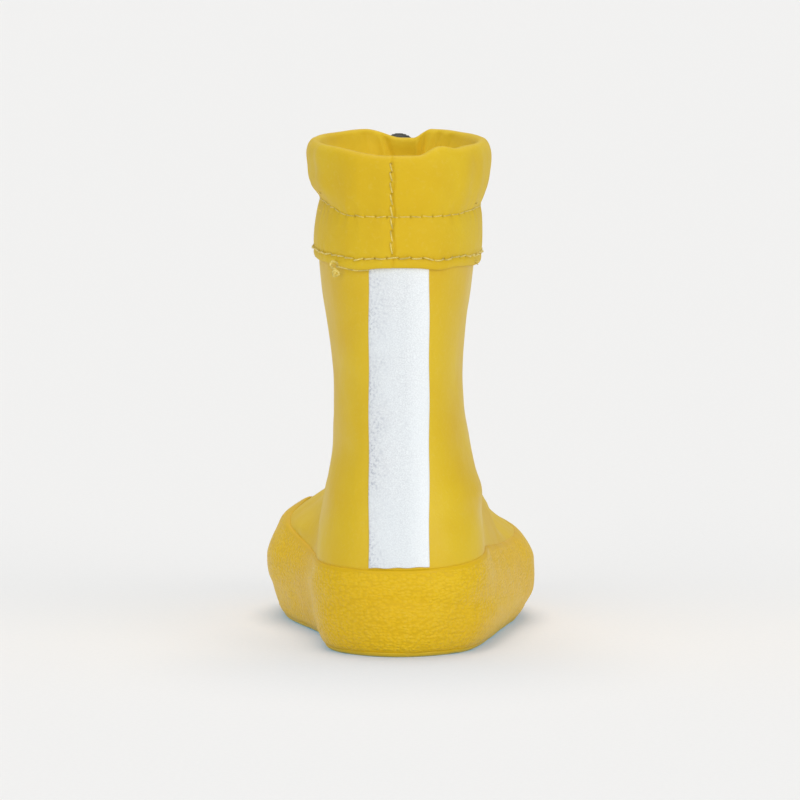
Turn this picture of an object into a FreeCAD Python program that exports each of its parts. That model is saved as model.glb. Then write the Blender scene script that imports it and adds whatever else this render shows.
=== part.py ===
"""Toddler's rubber rain boot, right foot: rubber upper, textured foxing, drawcord cuff.

Millimetres.  +Z is up, the toe points to -Y and the inner side of the foot is +X.  The origin is on the
ground, under the middle of the sole.
"""
import FreeCAD
import Part
import math
import os

V = FreeCAD.Vector
UP = V(0, 0, 1)
ALONG_Y = V(0, 1, 0)

# The sole's line: flat, then lifting towards the toe, and the foot's bed, which rises to the heel.
TOE_Y = -83.0
TOE_SPRING = 5.0
SPRING_START_Y = -30.0
HEEL_Y = 83.0
HEEL_RISE = 3.6
REACH = 70.0            # half size of the cutting blocks, past every side of the boot

# Layers of the wall, as distances outwards from the face of the rubber upper.
FOXING_OUT = 2.3
FOXING_IN = 0.1
UPPER_IN = -2.0
LINING_OUT = -2.1
LINING_IN = -3.6
STIFFENER_OUT = -2.2
STIFFENER_IN = -2.9
POCKET_IN = -3.0
BOARD_EDGE = -3.8
FOOTBED_EDGE = -4.1

# Levels above the sole's line.
TREAD_DEPTH = 2.2
OUTSOLE_TOP = 4.2
FOXING_BOTTOM = 4.3
BOARD_TOP = 11.4
FOAM_BOTTOM = 11.5
FOAM_TOP = 15.2
COVER_BOTTOM = 15.3
COVER_TOP = 16.3

# Tread: cross grooves in the forefoot and the heel, and the raised waist between them.
GROOVE_WIDTH = 2.6
GROOVE_PITCH = 8.0
FOREFOOT_TREAD = (-74.0, -6.0)
HEEL_TREAD = (46.0, 78.0)
WAIST_Y = 18.0
WAIST_LENGTH = 30.0

# Stiffener regions, as (low y, high y, low z, high z).
COUNTER_REGION = (44.0, 90.0, 14.0, 54.0)
PUFF_REGION = (-90.0, -52.0, 16.0, 60.0)
POCKET_MARGIN = 0.4

# Cuff levels.
RUBBER_TOP = 141.5
HEM_Z = 129.0
HEM_STITCH_Z = 132.4
SLEEVE_TOP = 142.4      # the plies part below here, round the rubber
PINCH_Z = 145.2
TUNNEL_BOTTOM = 147.6
TUNNEL_TOP = 165.6
RIM_Z = 167.2
PLY = 0.9

# Cuff profile: (z, outer face, inner face), as distances outwards from the shaft's face.
CUFF_PROFILE = [
    (HEM_Z, 1.4, -5.0),
    (136.0, 1.6, -5.0),
    (SLEEVE_TOP, 1.5, -4.9),
    (PINCH_Z, 0.4, -1.6),
    (149.0, 1.5, -3.0),
    (153.0, 2.4, -3.8),
    (157.5, 3.2, -3.9),
    (162.0, 3.2, -3.5),
    (165.2, 2.4, -2.6),
    (RIM_Z, 1.0, -1.0),
]

# Reflective strip down the back.
STRIP_WIDTH = 20.0
STRIP_IN = 0.03
STRIP_OUT = 0.38
STRIP_BOTTOM = 31.5
STRIP_TOP = 131.0

# Drawcord and the eyelet that its two ends come out of.
CORD_D = 2.8
CORD_Z = 153.6
LEAD_X = 1.75
LEAD_END_Y = -41.4
EYELET_FACE_Y = -10.2
EYELET_BACK_Y = -8.2
EYELET_SEAT_GAP = 0.1
EYELET_HOLE_R = 3.8
EYELET_BARREL_R = 4.4
EYELET_FLANGE_R = 6.0
EYELET_PLATE = 0.5

# Cord lock: a barrel with a sprung plunger that grips both ends of the cord.
LOCK_Y = -19.0
LOCK_R = 6.3
LOCK_BOTTOM = 143.2
LOCK_TOP = 159.8
LOCK_FLOOR = 1.2
LOCK_BORE_R = 4.5
LOCK_EDGE = 0.8
PLUNGER_R = 4.25
PLUNGER_BOTTOM = 150.4
PLUNGER_TOP = 164.6
DOME_START = 160.2
DOME_R = 7.0
PRESS = 3.2
SLOT_HALF_WIDTH = 3.4
SLOT_CLEARANCE = 0.2
SPRING_WIRE_R = 0.25
SPRING_R = 3.3
SPRING_TURNS = 4
SPRING_STEPS = 12
SPRING_SIDES = 8
SPRING_GAP = 0.1
END_FRONT_Y = -44.6
END_BACK_Y = -36.2
END_R = 4.0
END_NECK_R = 3.5

# Stitches.
STITCH_LENGTH = 2.6
STITCH_PITCH = 3.9
STITCH_THICK = 0.5
STITCH_LIFT = 0.1
SEAM_X = 2.2
SEAM_BOTTOM = 135.6
SEAM_TOP = 164.4

# The upper as a row of cross-sections from the toe, round the instep, to the top of the shaft.
# Each runs from a point (y, z) on the sole or back to one on the vamp or front, then has its inner and
# outer half widths, where along it it is widest, and how square its lower and upper halves are.
SECTIONS = [
    ((-83.0, 12.5), (-83.0, 27.0), 9.0, 9.0, 0.45, 2.2, 2.0),
    ((-80.0, 10.2), (-80.0, 34.0), 17.5, 17.5, 0.42, 2.4, 2.0),
    ((-74.0, 9.0), (-74.0, 41.5), 26.5, 26.5, 0.38, 2.7, 2.0),
    ((-66.0, 8.0), (-66.0, 45.5), 33.5, 33.0, 0.34, 2.9, 1.9),
    ((-54.0, 6.9), (-54.0, 48.5), 39.5, 38.5, 0.33, 3.0, 1.75),
    ((-38.0, 6.0), (-38.0, 51.0), 42.4, 42.5, 0.33, 3.0, 1.6),
    ((-16.0, 6.0), (-25.0, 55.0), 41.5, 43.2, 0.30, 3.0, 1.45),
    ((8.0, 6.3), (-18.0, 62.0), 35.0, 39.0, 0.27, 3.0, 1.5),
    ((32.0, 7.2), (-13.0, 68.5), 29.6, 35.0, 0.25, 3.0, 1.6),
    ((55.0, 8.4), (-9.0, 72.5), 27.6, 31.2, 0.25, 2.8, 1.75),
    ((71.0, 9.8), (-6.5, 76.0), 27.2, 28.8, 0.27, 2.6, 1.85),
    ((80.5, 17.0), (-5.0, 79.0), 26.3, 27.8, 0.30, 2.4, 2.0),
    ((83.2, 30.0), (-4.0, 82.0), 24.4, 26.2, 0.34, 2.3, 2.05),
    ((81.0, 47.0), (-3.5, 85.5), 23.2, 23.8, 0.40, 2.3, 2.2),
    ((77.8, 66.0), (-3.2, 90.0), 21.7, 21.6, 0.46, 2.3, 2.2),
    ((75.6, 84.0), (-3.2, 97.0), 21.8, 20.8, 0.50, 2.3, 2.2),
    ((75.0, 101.0), (-3.9, 107.0), 23.4, 21.8, 0.50, 2.3, 2.2),
    ((75.3, 120.0), (-5.2, 120.0), 25.6, 24.2, 0.50, 2.3, 2.2),
    ((76.0, 140.0), (-6.6, 140.0), 26.8, 26.2, 0.50, 2.3, 2.2),
    ((77.0, 170.0), (-8.0, 170.0), 27.6, 27.4, 0.50, 2.3, 2.2),
]
SHAFT_START = 17        # the sections from here on are level
SECTION_POINTS = 28
SECTION_SPACING = 6.0

# Outline of the sole where it is widest: (y, inner half width, outer half width).
SOLE_OUTLINE = [
    (-86.6, 0.0, 0.0), (-85.0, 12.5, 12.5), (-80.0, 22.5, 22.3), (-72.0, 31.2, 31.0), (-62.0, 37.6, 37.0),
    (-50.0, 41.6, 40.8), (-36.0, 43.4, 43.8), (-20.0, 42.6, 44.6), (-4.0, 38.8, 42.0), (12.0, 33.8, 39.0),
    (28.0, 30.2, 36.2), (44.0, 29.0, 33.4), (58.0, 28.4, 30.4), (70.0, 24.6, 25.6), (79.0, 16.6, 16.9),
    (84.0, 8.0, 8.0), (85.4, 0.0, 0.0),
]

# How the sole's side curves in: (level above the sole's line, distance inside the outline).
SOLE_SIDE = [(0.0, 5.2), (1.2, 4.4), (3.5, 3.0), (7.0, 1.6), (11.0, 0.6), (15.0, 0.4), (20.0, 1.8)]
SOLE_BASE = (-6.0, 6.0)
SOLE_LID = (34.0, 8.0)

# Outline of the filler under the foot: (y, inner half width, outer half width).
CORE_OUTLINE = [
    (-73.0, 0.0, 0.0), (-68.0, 14.0, 14.0), (-56.0, 26.0, 25.0), (-40.0, 32.0, 31.0), (-16.0, 31.0, 33.0),
    (10.0, 25.0, 28.0), (34.0, 20.0, 22.0), (56.0, 18.0, 19.0), (68.0, 11.0, 12.0), (72.0, 0.0, 0.0),
]

# Top edge of the foxing, as (y, z) from toe to heel, on the inner and the outer side.
FOXING_EDGE_INNER = [
    (-90, 33), (-60, 37.5), (-44, 36.5), (-25, 33.5), (-5, 30.5), (20, 28), (50, 29.5), (90, 29),
]
FOXING_EDGE_OUTER = [
    (-90, 33), (-60, 31), (-36, 29.5), (-14, 29), (10, 29.5), (30, 31), (50, 32.3), (90, 29),
]

# Route of the drawcord at the height CORD_Z, as (x, y): out of the eyelet on the inner side, round the
# shaft inside the cuff, and out again on the outer side.
CORD_ROUTE = [
    (LEAD_X, LEAD_END_Y), (LEAD_X, -6.8), (6.7, -6.4), (15.2, -1.8), (22.4, 8.6), (26.4, 23.2), (27.1, 40.6),
    (24.3, 56.8), (17.8, 69.0), (7.8, 75.5), (-7.8, 75.4), (-17.4, 69.0), (-23.9, 56.8), (-26.7, 40.6),
    (-26.1, 23.2), (-22.1, 8.6), (-15.0, -1.8), (-6.7, -6.4), (-LEAD_X, -6.8), (-LEAD_X, LEAD_END_Y),
]
ARC_SHARE = 0.45        # share of the shorter run that each bend of the cord takes


def lerp(a, b, t):
    return a + (b - a) * t


def sole_line(y):
    """Height of the sole's underside above the ground."""
    past = max(0.0, (SPRING_START_Y - y) / (SPRING_START_Y - TOE_Y))
    return TOE_SPRING * past * past


def bed_line(y):
    """Rise of the foot's bed, which follows the toe spring and climbs to the heel."""
    t = max(0.0, min(1.0, y / HEEL_Y))
    return sole_line(y) + HEEL_RISE * t * t * (3 - 2 * t)


def closed_curve(points):
    """Smooth closed wire through the points."""
    curve = Part.BSplineCurve()
    curve.interpolate(points, PeriodicFlag=True)
    return Part.Wire([curve.toShape()])


def open_curve(points):
    """Smooth open edge through the points."""
    curve = Part.BSplineCurve()
    curve.interpolate(points)
    return curve.toShape()


# ---------------------------------------------------------------- the boot's body

def section_points(back, front, inner, outer, widest, low_power, high_power, out):
    """Points round one cross-section, moved outwards by the distance out."""
    start = V(0, back[0], back[1])
    along = V(0, front[0], front[1]) - start
    length = along.Length
    along.normalize()
    middle = start + along * (length * widest)
    low = length * widest + out
    high = length * (1 - widest) + out
    points = []
    for i in range(SECTION_POINTS):
        angle = 2 * math.pi * (i + 0.5) / SECTION_POINTS
        side = math.cos(angle)
        rise = math.sin(angle)
        power = high_power if rise > 0 else low_power
        half = (inner if side > 0 else outer) + out
        reach = high if rise > 0 else low
        x = math.copysign(half * abs(side) ** (2 / power), side)
        points.append(middle + along * math.copysign(reach * abs(rise) ** (2 / power), rise) + V(x, 0, 0))
    return points


def flat(section):
    back, front, *rest = section
    return [*back, *front, *rest]


def section_gap(a, b):
    """The larger distance between two sections, along the sole and back or along the vamp and front."""
    return max(math.dist(a[0:2], b[0:2]), math.dist(a[2:4], b[2:4]))


def smooth_sections():
    """The sections with others between them, on smooth curves through each of their values."""
    rows = [flat(section) for section in SECTIONS]
    stations = [0.0]
    for a, b in zip(rows, rows[1:]):
        stations.append(stations[-1] + section_gap(a, b))
    last = len(rows) - 1
    slopes = []
    for k in range(len(rows)):
        low = max(k - 1, 0)
        high = min(k + 1, last)
        slopes.append([(h - g) / (stations[high] - stations[low]) for g, h in zip(rows[low], rows[high])])
    sections = []
    for k in range(last):
        span = stations[k + 1] - stations[k]
        steps = math.ceil(span / SECTION_SPACING)
        for step in range(steps):
            t = step / steps
            sections.append([hermite(*values, span, t) for values in
                             zip(rows[k], rows[k + 1], slopes[k], slopes[k + 1])])
    sections.append(rows[last])
    return sections


def hermite(a, b, slope_a, slope_b, span, t):
    """Cubic from a to b with the given slopes."""
    t2 = t * t
    t3 = t2 * t
    value = (2 * t3 - 3 * t2 + 1) * a + (3 * t2 - 2 * t3) * b
    return value + span * ((t3 - 2 * t2 + t) * slope_a + (t3 - t2) * slope_b)


def skin_solid(rows):
    """Closed solid whose side is one smooth surface over rows of points, each row a closed ring."""
    count = len(rows[0])
    row_count = len(rows)
    knots = list(range(row_count - 2))
    mults = [4] + [1] * (row_count - 4) + [4]
    surface = Part.BSplineSurface()
    surface.buildFromPolesMultsKnots(rows, mults, [1] * (count + 1), knots, list(range(count + 1)),
                                     False, True, 3, 3)
    side = surface.toShape()
    rims = [edge for edge in side.Edges if edge.isClosed()]
    caps = [Part.Face(Part.Wire([edge])) for edge in rims]
    shell = Part.makeShell([side] + caps)
    shell.sewShape()
    return Part.makeSolid(shell)


def boot_body(out):
    """The whole upper as one solid, grown outwards by the distance out."""
    rows = []
    for back_y, back_z, front_y, front_z, *rest in smooth_sections():
        toe_share = max(0.0, min(1.0, (-38.0 - back_y) / 30.0))
        back = (back_y - out * toe_share, back_z)
        front = (front_y - out * toe_share, front_z)
        rows.append(section_points(back, front, *rest, out))
    return skin_solid(rows)


def shaft_points(z, out):
    """Points round the level outline of the shaft at height z, grown outwards by the distance out."""
    index = SHAFT_START if z < SECTIONS[SHAFT_START + 1][0][1] else SHAFT_START + 1
    low = SECTIONS[index]
    high = SECTIONS[index + 1]
    t = (z - low[0][1]) / (high[0][1] - low[0][1])
    back = (lerp(low[0][0], high[0][0], t), z)
    front = (lerp(low[1][0], high[1][0], t), z)
    return section_points(back, front, lerp(low[2], high[2], t), lerp(low[3], high[3], t), *low[4:], out)


def shaft_loft(levels):
    """Solid with straight sides between level outlines, given as (z, distance out)."""
    return Part.makeLoft([closed_curve(shaft_points(z, out)) for z, out in levels], True, True)


def level_block(low_z, high_z):
    """Level cutting block between two heights."""
    return Part.makeBox(2 * REACH, 4 * REACH, high_z - low_z, V(-REACH, -2 * REACH, low_z))


def line_edges(line, level):
    """Edges along the sole at a level above a line: one curve, then straight where the line is flat."""
    step = 0.1 * REACH
    toe_end = V(-REACH, SPRING_START_Y, line(SPRING_START_Y) + level)
    heel_end = V(-REACH, 1.8 * REACH, line(1.8 * REACH) + level)
    ys = [-1.8 * REACH + step * i for i in range(37)]
    if abs(heel_end.z - toe_end.z) > 1e-6:
        return [open_curve([V(-REACH, y, line(y) + level) for y in ys])]
    toe = [V(-REACH, y, line(y) + level) for y in ys if y < SPRING_START_Y - step / 4]
    return [open_curve(toe + [toe_end]), Part.LineSegment(toe_end, heel_end).toShape()]


def slab(line, low, high):
    """Slab between two levels above a line that runs along the sole."""
    bottom = line_edges(line, low)
    top = line_edges(line, high)
    edges = bottom + top
    for lower, upper in ((bottom[0].Vertexes[0], top[0].Vertexes[0]),
                         (bottom[-1].Vertexes[-1], top[-1].Vertexes[-1])):
        edges.append(Part.LineSegment(lower.Point, upper.Point).toShape())
    wire = Part.Wire(Part.__sortEdges__(edges))
    return Part.Face(wire).extrude(V(2 * REACH, 0, 0))


# ---------------------------------------------------------------- sole

def under_foxing_edge():
    """Everything below the top edge of the foxing."""
    profiles = []
    for x, edge in ((-REACH, FOXING_EDGE_OUTER), (REACH, FOXING_EDGE_INNER)):
        points = [V(x, y, z) for y, z in edge]
        first_low = V(x, points[0].y, -20)
        last_low = V(x, points[-1].y, -20)
        profiles.append(Part.Wire([
            open_curve(points),
            Part.LineSegment(points[-1], last_low).toShape(),
            Part.LineSegment(last_low, first_low).toShape(),
            Part.LineSegment(first_low, points[0]).toShape(),
        ]))
    return Part.makeLoft(profiles, True, True)


def sole_ring(outline, grow, height):
    """Ring of points round an outline of the sole; height gives z for each y."""
    toe_y = outline[0][0] - grow
    heel_y = outline[-1][0] + grow
    ring = [V(0, toe_y, height(toe_y))]
    ring += [V(inner + grow, y, height(y)) for y, inner, outer in outline[1:-1]]
    ring.append(V(0, heel_y, height(heel_y)))
    ring += [V(-outer - grow, y, height(y)) for y, inner, outer in reversed(outline[1:-1])]
    return ring


def core_prism(grow):
    """Upright prism inside the sole's outline."""
    ring = sole_ring(CORE_OUTLINE, grow, lambda y: 0)
    return Part.Face(closed_curve(ring)).extrude(UP * 14)


def sole_side():
    """Solid whose side is the curved side of the sole."""
    rows = [sole_ring(SOLE_OUTLINE, -SOLE_BASE[1], lambda y: SOLE_BASE[0])]
    for level, inside in SOLE_SIDE:
        rows.append(sole_ring(SOLE_OUTLINE, -inside, lambda y: sole_line(y) + level))
    rows.append(sole_ring(SOLE_OUTLINE, -SOLE_LID[1], lambda y: SOLE_LID[0]))
    return skin_solid(rows)


def tread_grooves():
    """Cutters for the cross grooves and the raised waist."""
    cutters = []
    for low, high in (FOREFOOT_TREAD, HEEL_TREAD):
        y = low
        while y <= high:
            cutters.append(groove(y, GROOVE_WIDTH))
            y += GROOVE_PITCH
    cutters.append(groove(WAIST_Y, WAIST_LENGTH))
    return Part.makeCompound(cutters)


def groove(y, width):
    bottom = sole_line(y) - 3
    return Part.makeBox(2 * REACH, width, 3 + TREAD_DEPTH, V(-REACH, y - width / 2, bottom))


def make_sole():
    """Outsole, the foxing round it, and the filler that lifts the heel."""
    side = sole_side()
    outside_upper = boot_body(FOXING_IN)
    above = slab(sole_line, FOXING_BOTTOM, 60)
    outsole = side.common(slab(sole_line, 0, OUTSOLE_TOP)).cut(tread_grooves())
    band = boot_body(FOXING_OUT).fuse(side).common(above).common(under_foxing_edge())
    foxing = band.cut(outside_upper).cut(core_prism(0.1))
    midsole = core_prism(0).common(above).cut(outside_upper)
    return {"outsole": outsole, "foxing": foxing, "midsole": midsole}


# ---------------------------------------------------------------- upper

def region(limits, margin=0.0):
    low_y, high_y, low_z, high_z = limits
    size = V(2 * REACH, high_y - low_y + 2 * margin, high_z - low_z + 2 * margin)
    return Part.makeBox(size.x, size.y, size.z, V(-REACH, low_y - margin, low_z - margin))


def layer(outer, inner):
    return boot_body(outer).cut(boot_body(inner))


def make_upper():
    """Rubber upper, the stiffeners under it and the lining."""
    above_rubber = level_block(RUBBER_TOP, 200)
    shell = layer(0, UPPER_IN).cut(above_rubber)
    stiffener = layer(STIFFENER_OUT, STIFFENER_IN)
    pocket = layer(LINING_OUT + 0.5, POCKET_IN)
    lining = layer(LINING_OUT, LINING_IN).cut(above_rubber)
    parts = {"upper_shell": shell}
    for name, limits in (("heel_counter", COUNTER_REGION), ("toe_puff", PUFF_REGION)):
        parts[name] = stiffener.common(region(limits))
        lining = lining.cut(pocket.common(region(limits, POCKET_MARGIN)))
    parts["lining"] = lining
    return parts


def make_footbed():
    """Insole board, and the removable footbed of foam with its fabric cover."""
    edge = boot_body(FOOTBED_EDGE)
    return {
        "insole_board": boot_body(BOARD_EDGE).common(slab(bed_line, -5, BOARD_TOP)),
        "footbed_foam": edge.common(slab(bed_line, FOAM_BOTTOM, FOAM_TOP)),
        "footbed_cover": edge.common(slab(bed_line, COVER_BOTTOM, COVER_TOP)),
    }


def make_strip():
    """Reflective strip down the middle of the back."""
    box = Part.makeBox(STRIP_WIDTH, REACH, STRIP_TOP - STRIP_BOTTOM, V(-STRIP_WIDTH / 2, 45, STRIP_BOTTOM))
    return {"reflective_strip": layer(STRIP_OUT, STRIP_IN).common(box)}


# ---------------------------------------------------------------- cuff

def cuff_face(z, column, inset):
    """Distance out of one face of the cuff at height z, moved into the fabric by inset."""
    for low, high in zip(CUFF_PROFILE, CUFF_PROFILE[1:]):
        if z <= high[0]:
            return lerp(low[column], high[column], (z - low[0]) / (high[0] - low[0])) + inset


def cuff_levels(low_z, high_z, column, inset=0.0):
    """Levels of one face between two heights, with the profile's own levels between them."""
    heights = [low_z] + [row[0] for row in CUFF_PROFILE if low_z < row[0] < high_z] + [high_z]
    return [(z, cuff_face(z, column, inset)) for z in heights]


def cuff_hollow(low_z, high_z):
    """Space between the two plies."""
    outer = shaft_loft(cuff_levels(low_z, high_z, 1, -PLY))
    return outer.cut(shaft_loft(cuff_levels(low_z, high_z, 2, PLY)))


def make_cuff():
    """Fabric folded over the top, with the drawcord's tunnel between its plies."""
    cuff = shaft_loft(cuff_levels(HEM_Z, RIM_Z, 1)).cut(shaft_loft(cuff_levels(HEM_Z, RIM_Z, 2)))
    cuff = cuff.cut(cuff_hollow(HEM_Z, SLEEVE_TOP)).cut(cuff_hollow(TUNNEL_BOTTOM, TUNNEL_TOP))
    gap = EYELET_SEAT_GAP
    hole = Part.makeCylinder(EYELET_BARREL_R + gap, REACH, V(0, EYELET_BACK_Y + 0.6, CORD_Z), -ALONG_Y)
    seat = Part.makeCylinder(EYELET_FLANGE_R + gap, REACH, V(0, EYELET_FACE_Y + gap, CORD_Z), -ALONG_Y)
    return {"cuff_fabric": cuff.cut(hole).cut(seat)}


def stitch(place, direction, outward):
    """One stitch: a short flat bar lying on the fabric."""
    side = direction.cross(outward)
    bar = Part.makeBox(STITCH_LENGTH, STITCH_THICK, STITCH_THICK, V(-STITCH_LENGTH / 2, -STITCH_THICK / 2, 0))
    matrix = FreeCAD.Matrix(
        direction.x, side.x, outward.x, place.x,
        direction.y, side.y, outward.y, place.y,
        direction.z, side.z, outward.z, place.z,
        0, 0, 0, 1)
    bar.transformShape(matrix)
    return bar


def stitch_ring(z):
    """Row of stitches round the cuff at height z."""
    outline = closed_curve(shaft_points(z, cuff_face(z, 1, STITCH_LIFT))).Edges[0]
    count = round(outline.Length / STITCH_PITCH)
    bars = []
    for i in range(count):
        at = outline.getParameterByLength(outline.Length * (i + 0.5) / count)
        direction = outline.tangentAt(at)
        direction.normalize()
        outward = direction.cross(UP)
        place = outline.valueAt(at)
        if outward.dot(place - V(0, place.y * 0.5 + 17, place.z)) < 0:
            outward = outward * -1
        bars.append(stitch(place, direction, outward))
    return Part.makeCompound(bars)


def seam_stitches():
    """Upright row of stitches beside the seam at the back of the cuff, clear of the pinched line."""
    count = round((SEAM_TOP - SEAM_BOTTOM) / STITCH_PITCH)
    bars = []
    for i in range(count + 1):
        z = lerp(SEAM_BOTTOM, SEAM_TOP, i / count)
        if abs(z - PINCH_Z) < STITCH_LENGTH / 2 + 0.4:
            continue
        direction = back_face(z + 1) - back_face(z - 1)
        direction.normalize()
        outward = direction.cross(V(1, 0, 0))
        bars.append(stitch(back_face(z) + outward * STITCH_LIFT, direction, outward))
    return Part.makeCompound(bars)


def back_face(z):
    """Point beside the seam on the back of the cuff."""
    rim = closed_curve(shaft_points(z, cuff_face(z, 1, 0)))
    line = Part.makeLine(V(SEAM_X, 40, z), V(SEAM_X, 120, z))
    return rim.distToShape(line)[1][0][0]


def make_stitching():
    return {
        "hem_stitching": stitch_ring(HEM_STITCH_Z),
        "tunnel_stitching": stitch_ring(PINCH_Z),
        "seam_stitching": seam_stitches(),
    }


# ---------------------------------------------------------------- drawcord

def cord_path(points):
    """Straight runs joined by tangent arcs, each as large as its two runs allow."""
    edges = []
    start = points[0]
    for before, corner, after in zip(points, points[1:], points[2:]):
        back = before - corner
        on = after - corner
        turn = math.pi - back.getAngle(on)
        trim = ARC_SHARE * min(back.Length, on.Length)
        print(f"  bend radius {trim / math.tan(turn / 2):.1f}")
        back.normalize()
        on.normalize()
        leave = corner + back * trim
        enter = corner + on * trim
        middle = back + on
        middle.normalize()
        radius = trim / math.tan(turn / 2)
        centre_distance = radius / math.cos(turn / 2)
        apex = corner + middle * (centre_distance - radius)
        edges.append(Part.LineSegment(start, leave).toShape())
        edges.append(Part.Arc(leave, apex, enter).toShape())
        start = enter
    edges.append(Part.LineSegment(start, points[-1]).toShape())
    return Part.Wire(edges)


def make_drawcord():
    """Elastic cord in the cuff's tunnel, with both ends out through the eyelet."""
    path = cord_path([V(x, y, CORD_Z) for x, y in CORD_ROUTE])
    section = Part.Wire([Part.makeCircle(CORD_D / 2, V(LEAD_X, LEAD_END_Y, CORD_Z), ALONG_Y)])
    cord = path.makePipeShell([section], True, True)
    print(f"cord length {path.Length:.1f}, volume {cord.Volume / (math.pi * CORD_D ** 2 / 4):.1f} long")
    return {"drawcord": cord}


def ring(outer_r, inner_r, start_y, length):
    """Ring round the leads' centre line, growing towards -Y."""
    start = V(0, start_y, CORD_Z)
    return Part.makeCylinder(outer_r, length, start, -ALONG_Y).cut(
        Part.makeCylinder(inner_r, length, start, -ALONG_Y))


def make_eyelet():
    """Flanged eyelet in the front of the cuff."""
    barrel = ring(EYELET_BARREL_R, EYELET_HOLE_R, EYELET_BACK_Y, EYELET_BACK_Y - EYELET_FACE_Y)
    plate = ring(EYELET_FLANGE_R, EYELET_HOLE_R, EYELET_FACE_Y, EYELET_PLATE)
    return {"cord_eyelet": barrel.fuse(plate).removeSplitter()}


def cord_slot(low_z, high_z):
    """Upright slot along Y with round ends that both leads pass through."""
    side_r = (high_z - low_z) / 2
    centre = (high_z + low_z) / 2
    half = SLOT_HALF_WIDTH - side_r
    start_y = LOCK_Y + 2 * LOCK_R
    length = 4 * LOCK_R
    parts = [Part.makeCylinder(side_r, length, V(x, start_y, centre), -ALONG_Y) for x in (-half, half)]
    if half > 0:
        parts.append(Part.makeBox(2 * half, length, 2 * side_r, V(-half, start_y - length, low_z)))
    return parts[0].fuse(parts[1:])


def make_lock():
    """Lock barrel, its spring and the plunger, which is also the button."""
    centre = V(0, LOCK_Y, LOCK_BOTTOM)
    barrel = Part.makeCylinder(LOCK_R, LOCK_TOP - LOCK_BOTTOM, centre)
    barrel = barrel.makeFillet(LOCK_EDGE, [barrel.Edges[0], barrel.Edges[2]])
    floor = LOCK_BOTTOM + LOCK_FLOOR
    bore = Part.makeCylinder(LOCK_BORE_R, LOCK_TOP - floor + 1, V(0, LOCK_Y, floor))
    gap = CORD_D / 2 + SLOT_CLEARANCE
    barrel = barrel.cut(bore).cut(cord_slot(CORD_Z - gap, CORD_Z + gap))

    stem = Part.makeCylinder(PLUNGER_R, DOME_START - PLUNGER_BOTTOM, V(0, LOCK_Y, PLUNGER_BOTTOM))
    cap = Part.makeCylinder(PLUNGER_R, PLUNGER_TOP - DOME_START, V(0, LOCK_Y, DOME_START))
    dome = Part.makeSphere(DOME_R, V(0, LOCK_Y, PLUNGER_TOP - DOME_R))
    plunger = stem.fuse(cap.common(dome)).removeSplitter()
    window_half = SLOT_HALF_WIDTH
    window = Part.makeBox(2 * window_half, 4 * LOCK_R, 2 * gap + PRESS,
                          V(-window_half, LOCK_Y - 2 * LOCK_R, CORD_Z - gap))
    plunger = plunger.cut(window)

    low = floor + SPRING_GAP + SPRING_WIRE_R
    high = PLUNGER_BOTTOM - SPRING_GAP - SPRING_WIRE_R
    return {"lock_barrel": barrel, "lock_spring": coil(low, high), "lock_plunger": plunger}


def coil(low, high):
    """Helical spring wire between two heights."""
    count = SPRING_TURNS * SPRING_STEPS
    rows = []
    for k in range(count + 1):
        turn = 2 * math.pi * k / SPRING_STEPS
        outward = V(math.cos(turn), math.sin(turn), 0)
        centre = V(0, LOCK_Y, lerp(low, high, k / count)) + outward * SPRING_R
        row = []
        for i in range(SPRING_SIDES):
            angle = -2 * math.pi * i / SPRING_SIDES
            row.append(centre + (outward * math.cos(angle) + UP * math.sin(angle)) * SPRING_WIRE_R)
        rows.append(row)
    return skin_solid(rows)


def make_cord_end():
    """Moulded end that joins the two ends of the cord."""
    length = END_BACK_Y - END_FRONT_Y
    body = Part.makeCone(END_NECK_R + 0.3, END_R, length, V(0, END_BACK_Y, CORD_Z), -ALONG_Y)
    body = body.makeFillet(1.2, [edge for edge in body.Edges if edge.BoundBox.YMax < END_FRONT_Y + 0.01])
    hole_r = CORD_D / 2 + 0.05
    hole_depth = END_BACK_Y - LEAD_END_Y + 0.1
    for x in (-LEAD_X, LEAD_X):
        hole = Part.makeCylinder(hole_r, hole_depth, V(x, END_BACK_Y, CORD_Z), -ALONG_Y)
        body = body.cut(hole)
    return {"cord_end": body}


def main():
    os.makedirs("parts", exist_ok=True)
    parts = {}
    parts.update(make_sole())
    parts.update(make_upper())
    parts.update(make_footbed())
    parts.update(make_strip())
    parts.update(make_cuff())
    parts.update(make_stitching())
    parts.update(make_drawcord())
    parts.update(make_eyelet())
    parts.update(make_lock())
    parts.update(make_cord_end())
    for name, shape in parts.items():
        box = shape.optimalBoundingBox()
        print(f"{name}: valid {shape.isValid()}, solids {len(shape.Solids)}, volume {shape.Volume:.0f},"
              f" x {box.XMin:.1f} {box.XMax:.1f}, y {box.YMin:.1f} {box.YMax:.1f},"
              f" z {box.ZMin:.1f} {box.ZMax:.1f}")
        shape.exportStep(f"parts/{name}.step")


main()
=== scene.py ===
"""Looks of the child's rubber rain boot, right foot, in the frame that the CAD made.

Shapes are worked out in millimetres and stored in metres.  +Z is up, the toe points to -Y and the inner
side of the foot is +X.
"""

import math

import bpy
import numpy as np
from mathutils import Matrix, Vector
from mathutils.bvhtree import BVHTree


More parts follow.
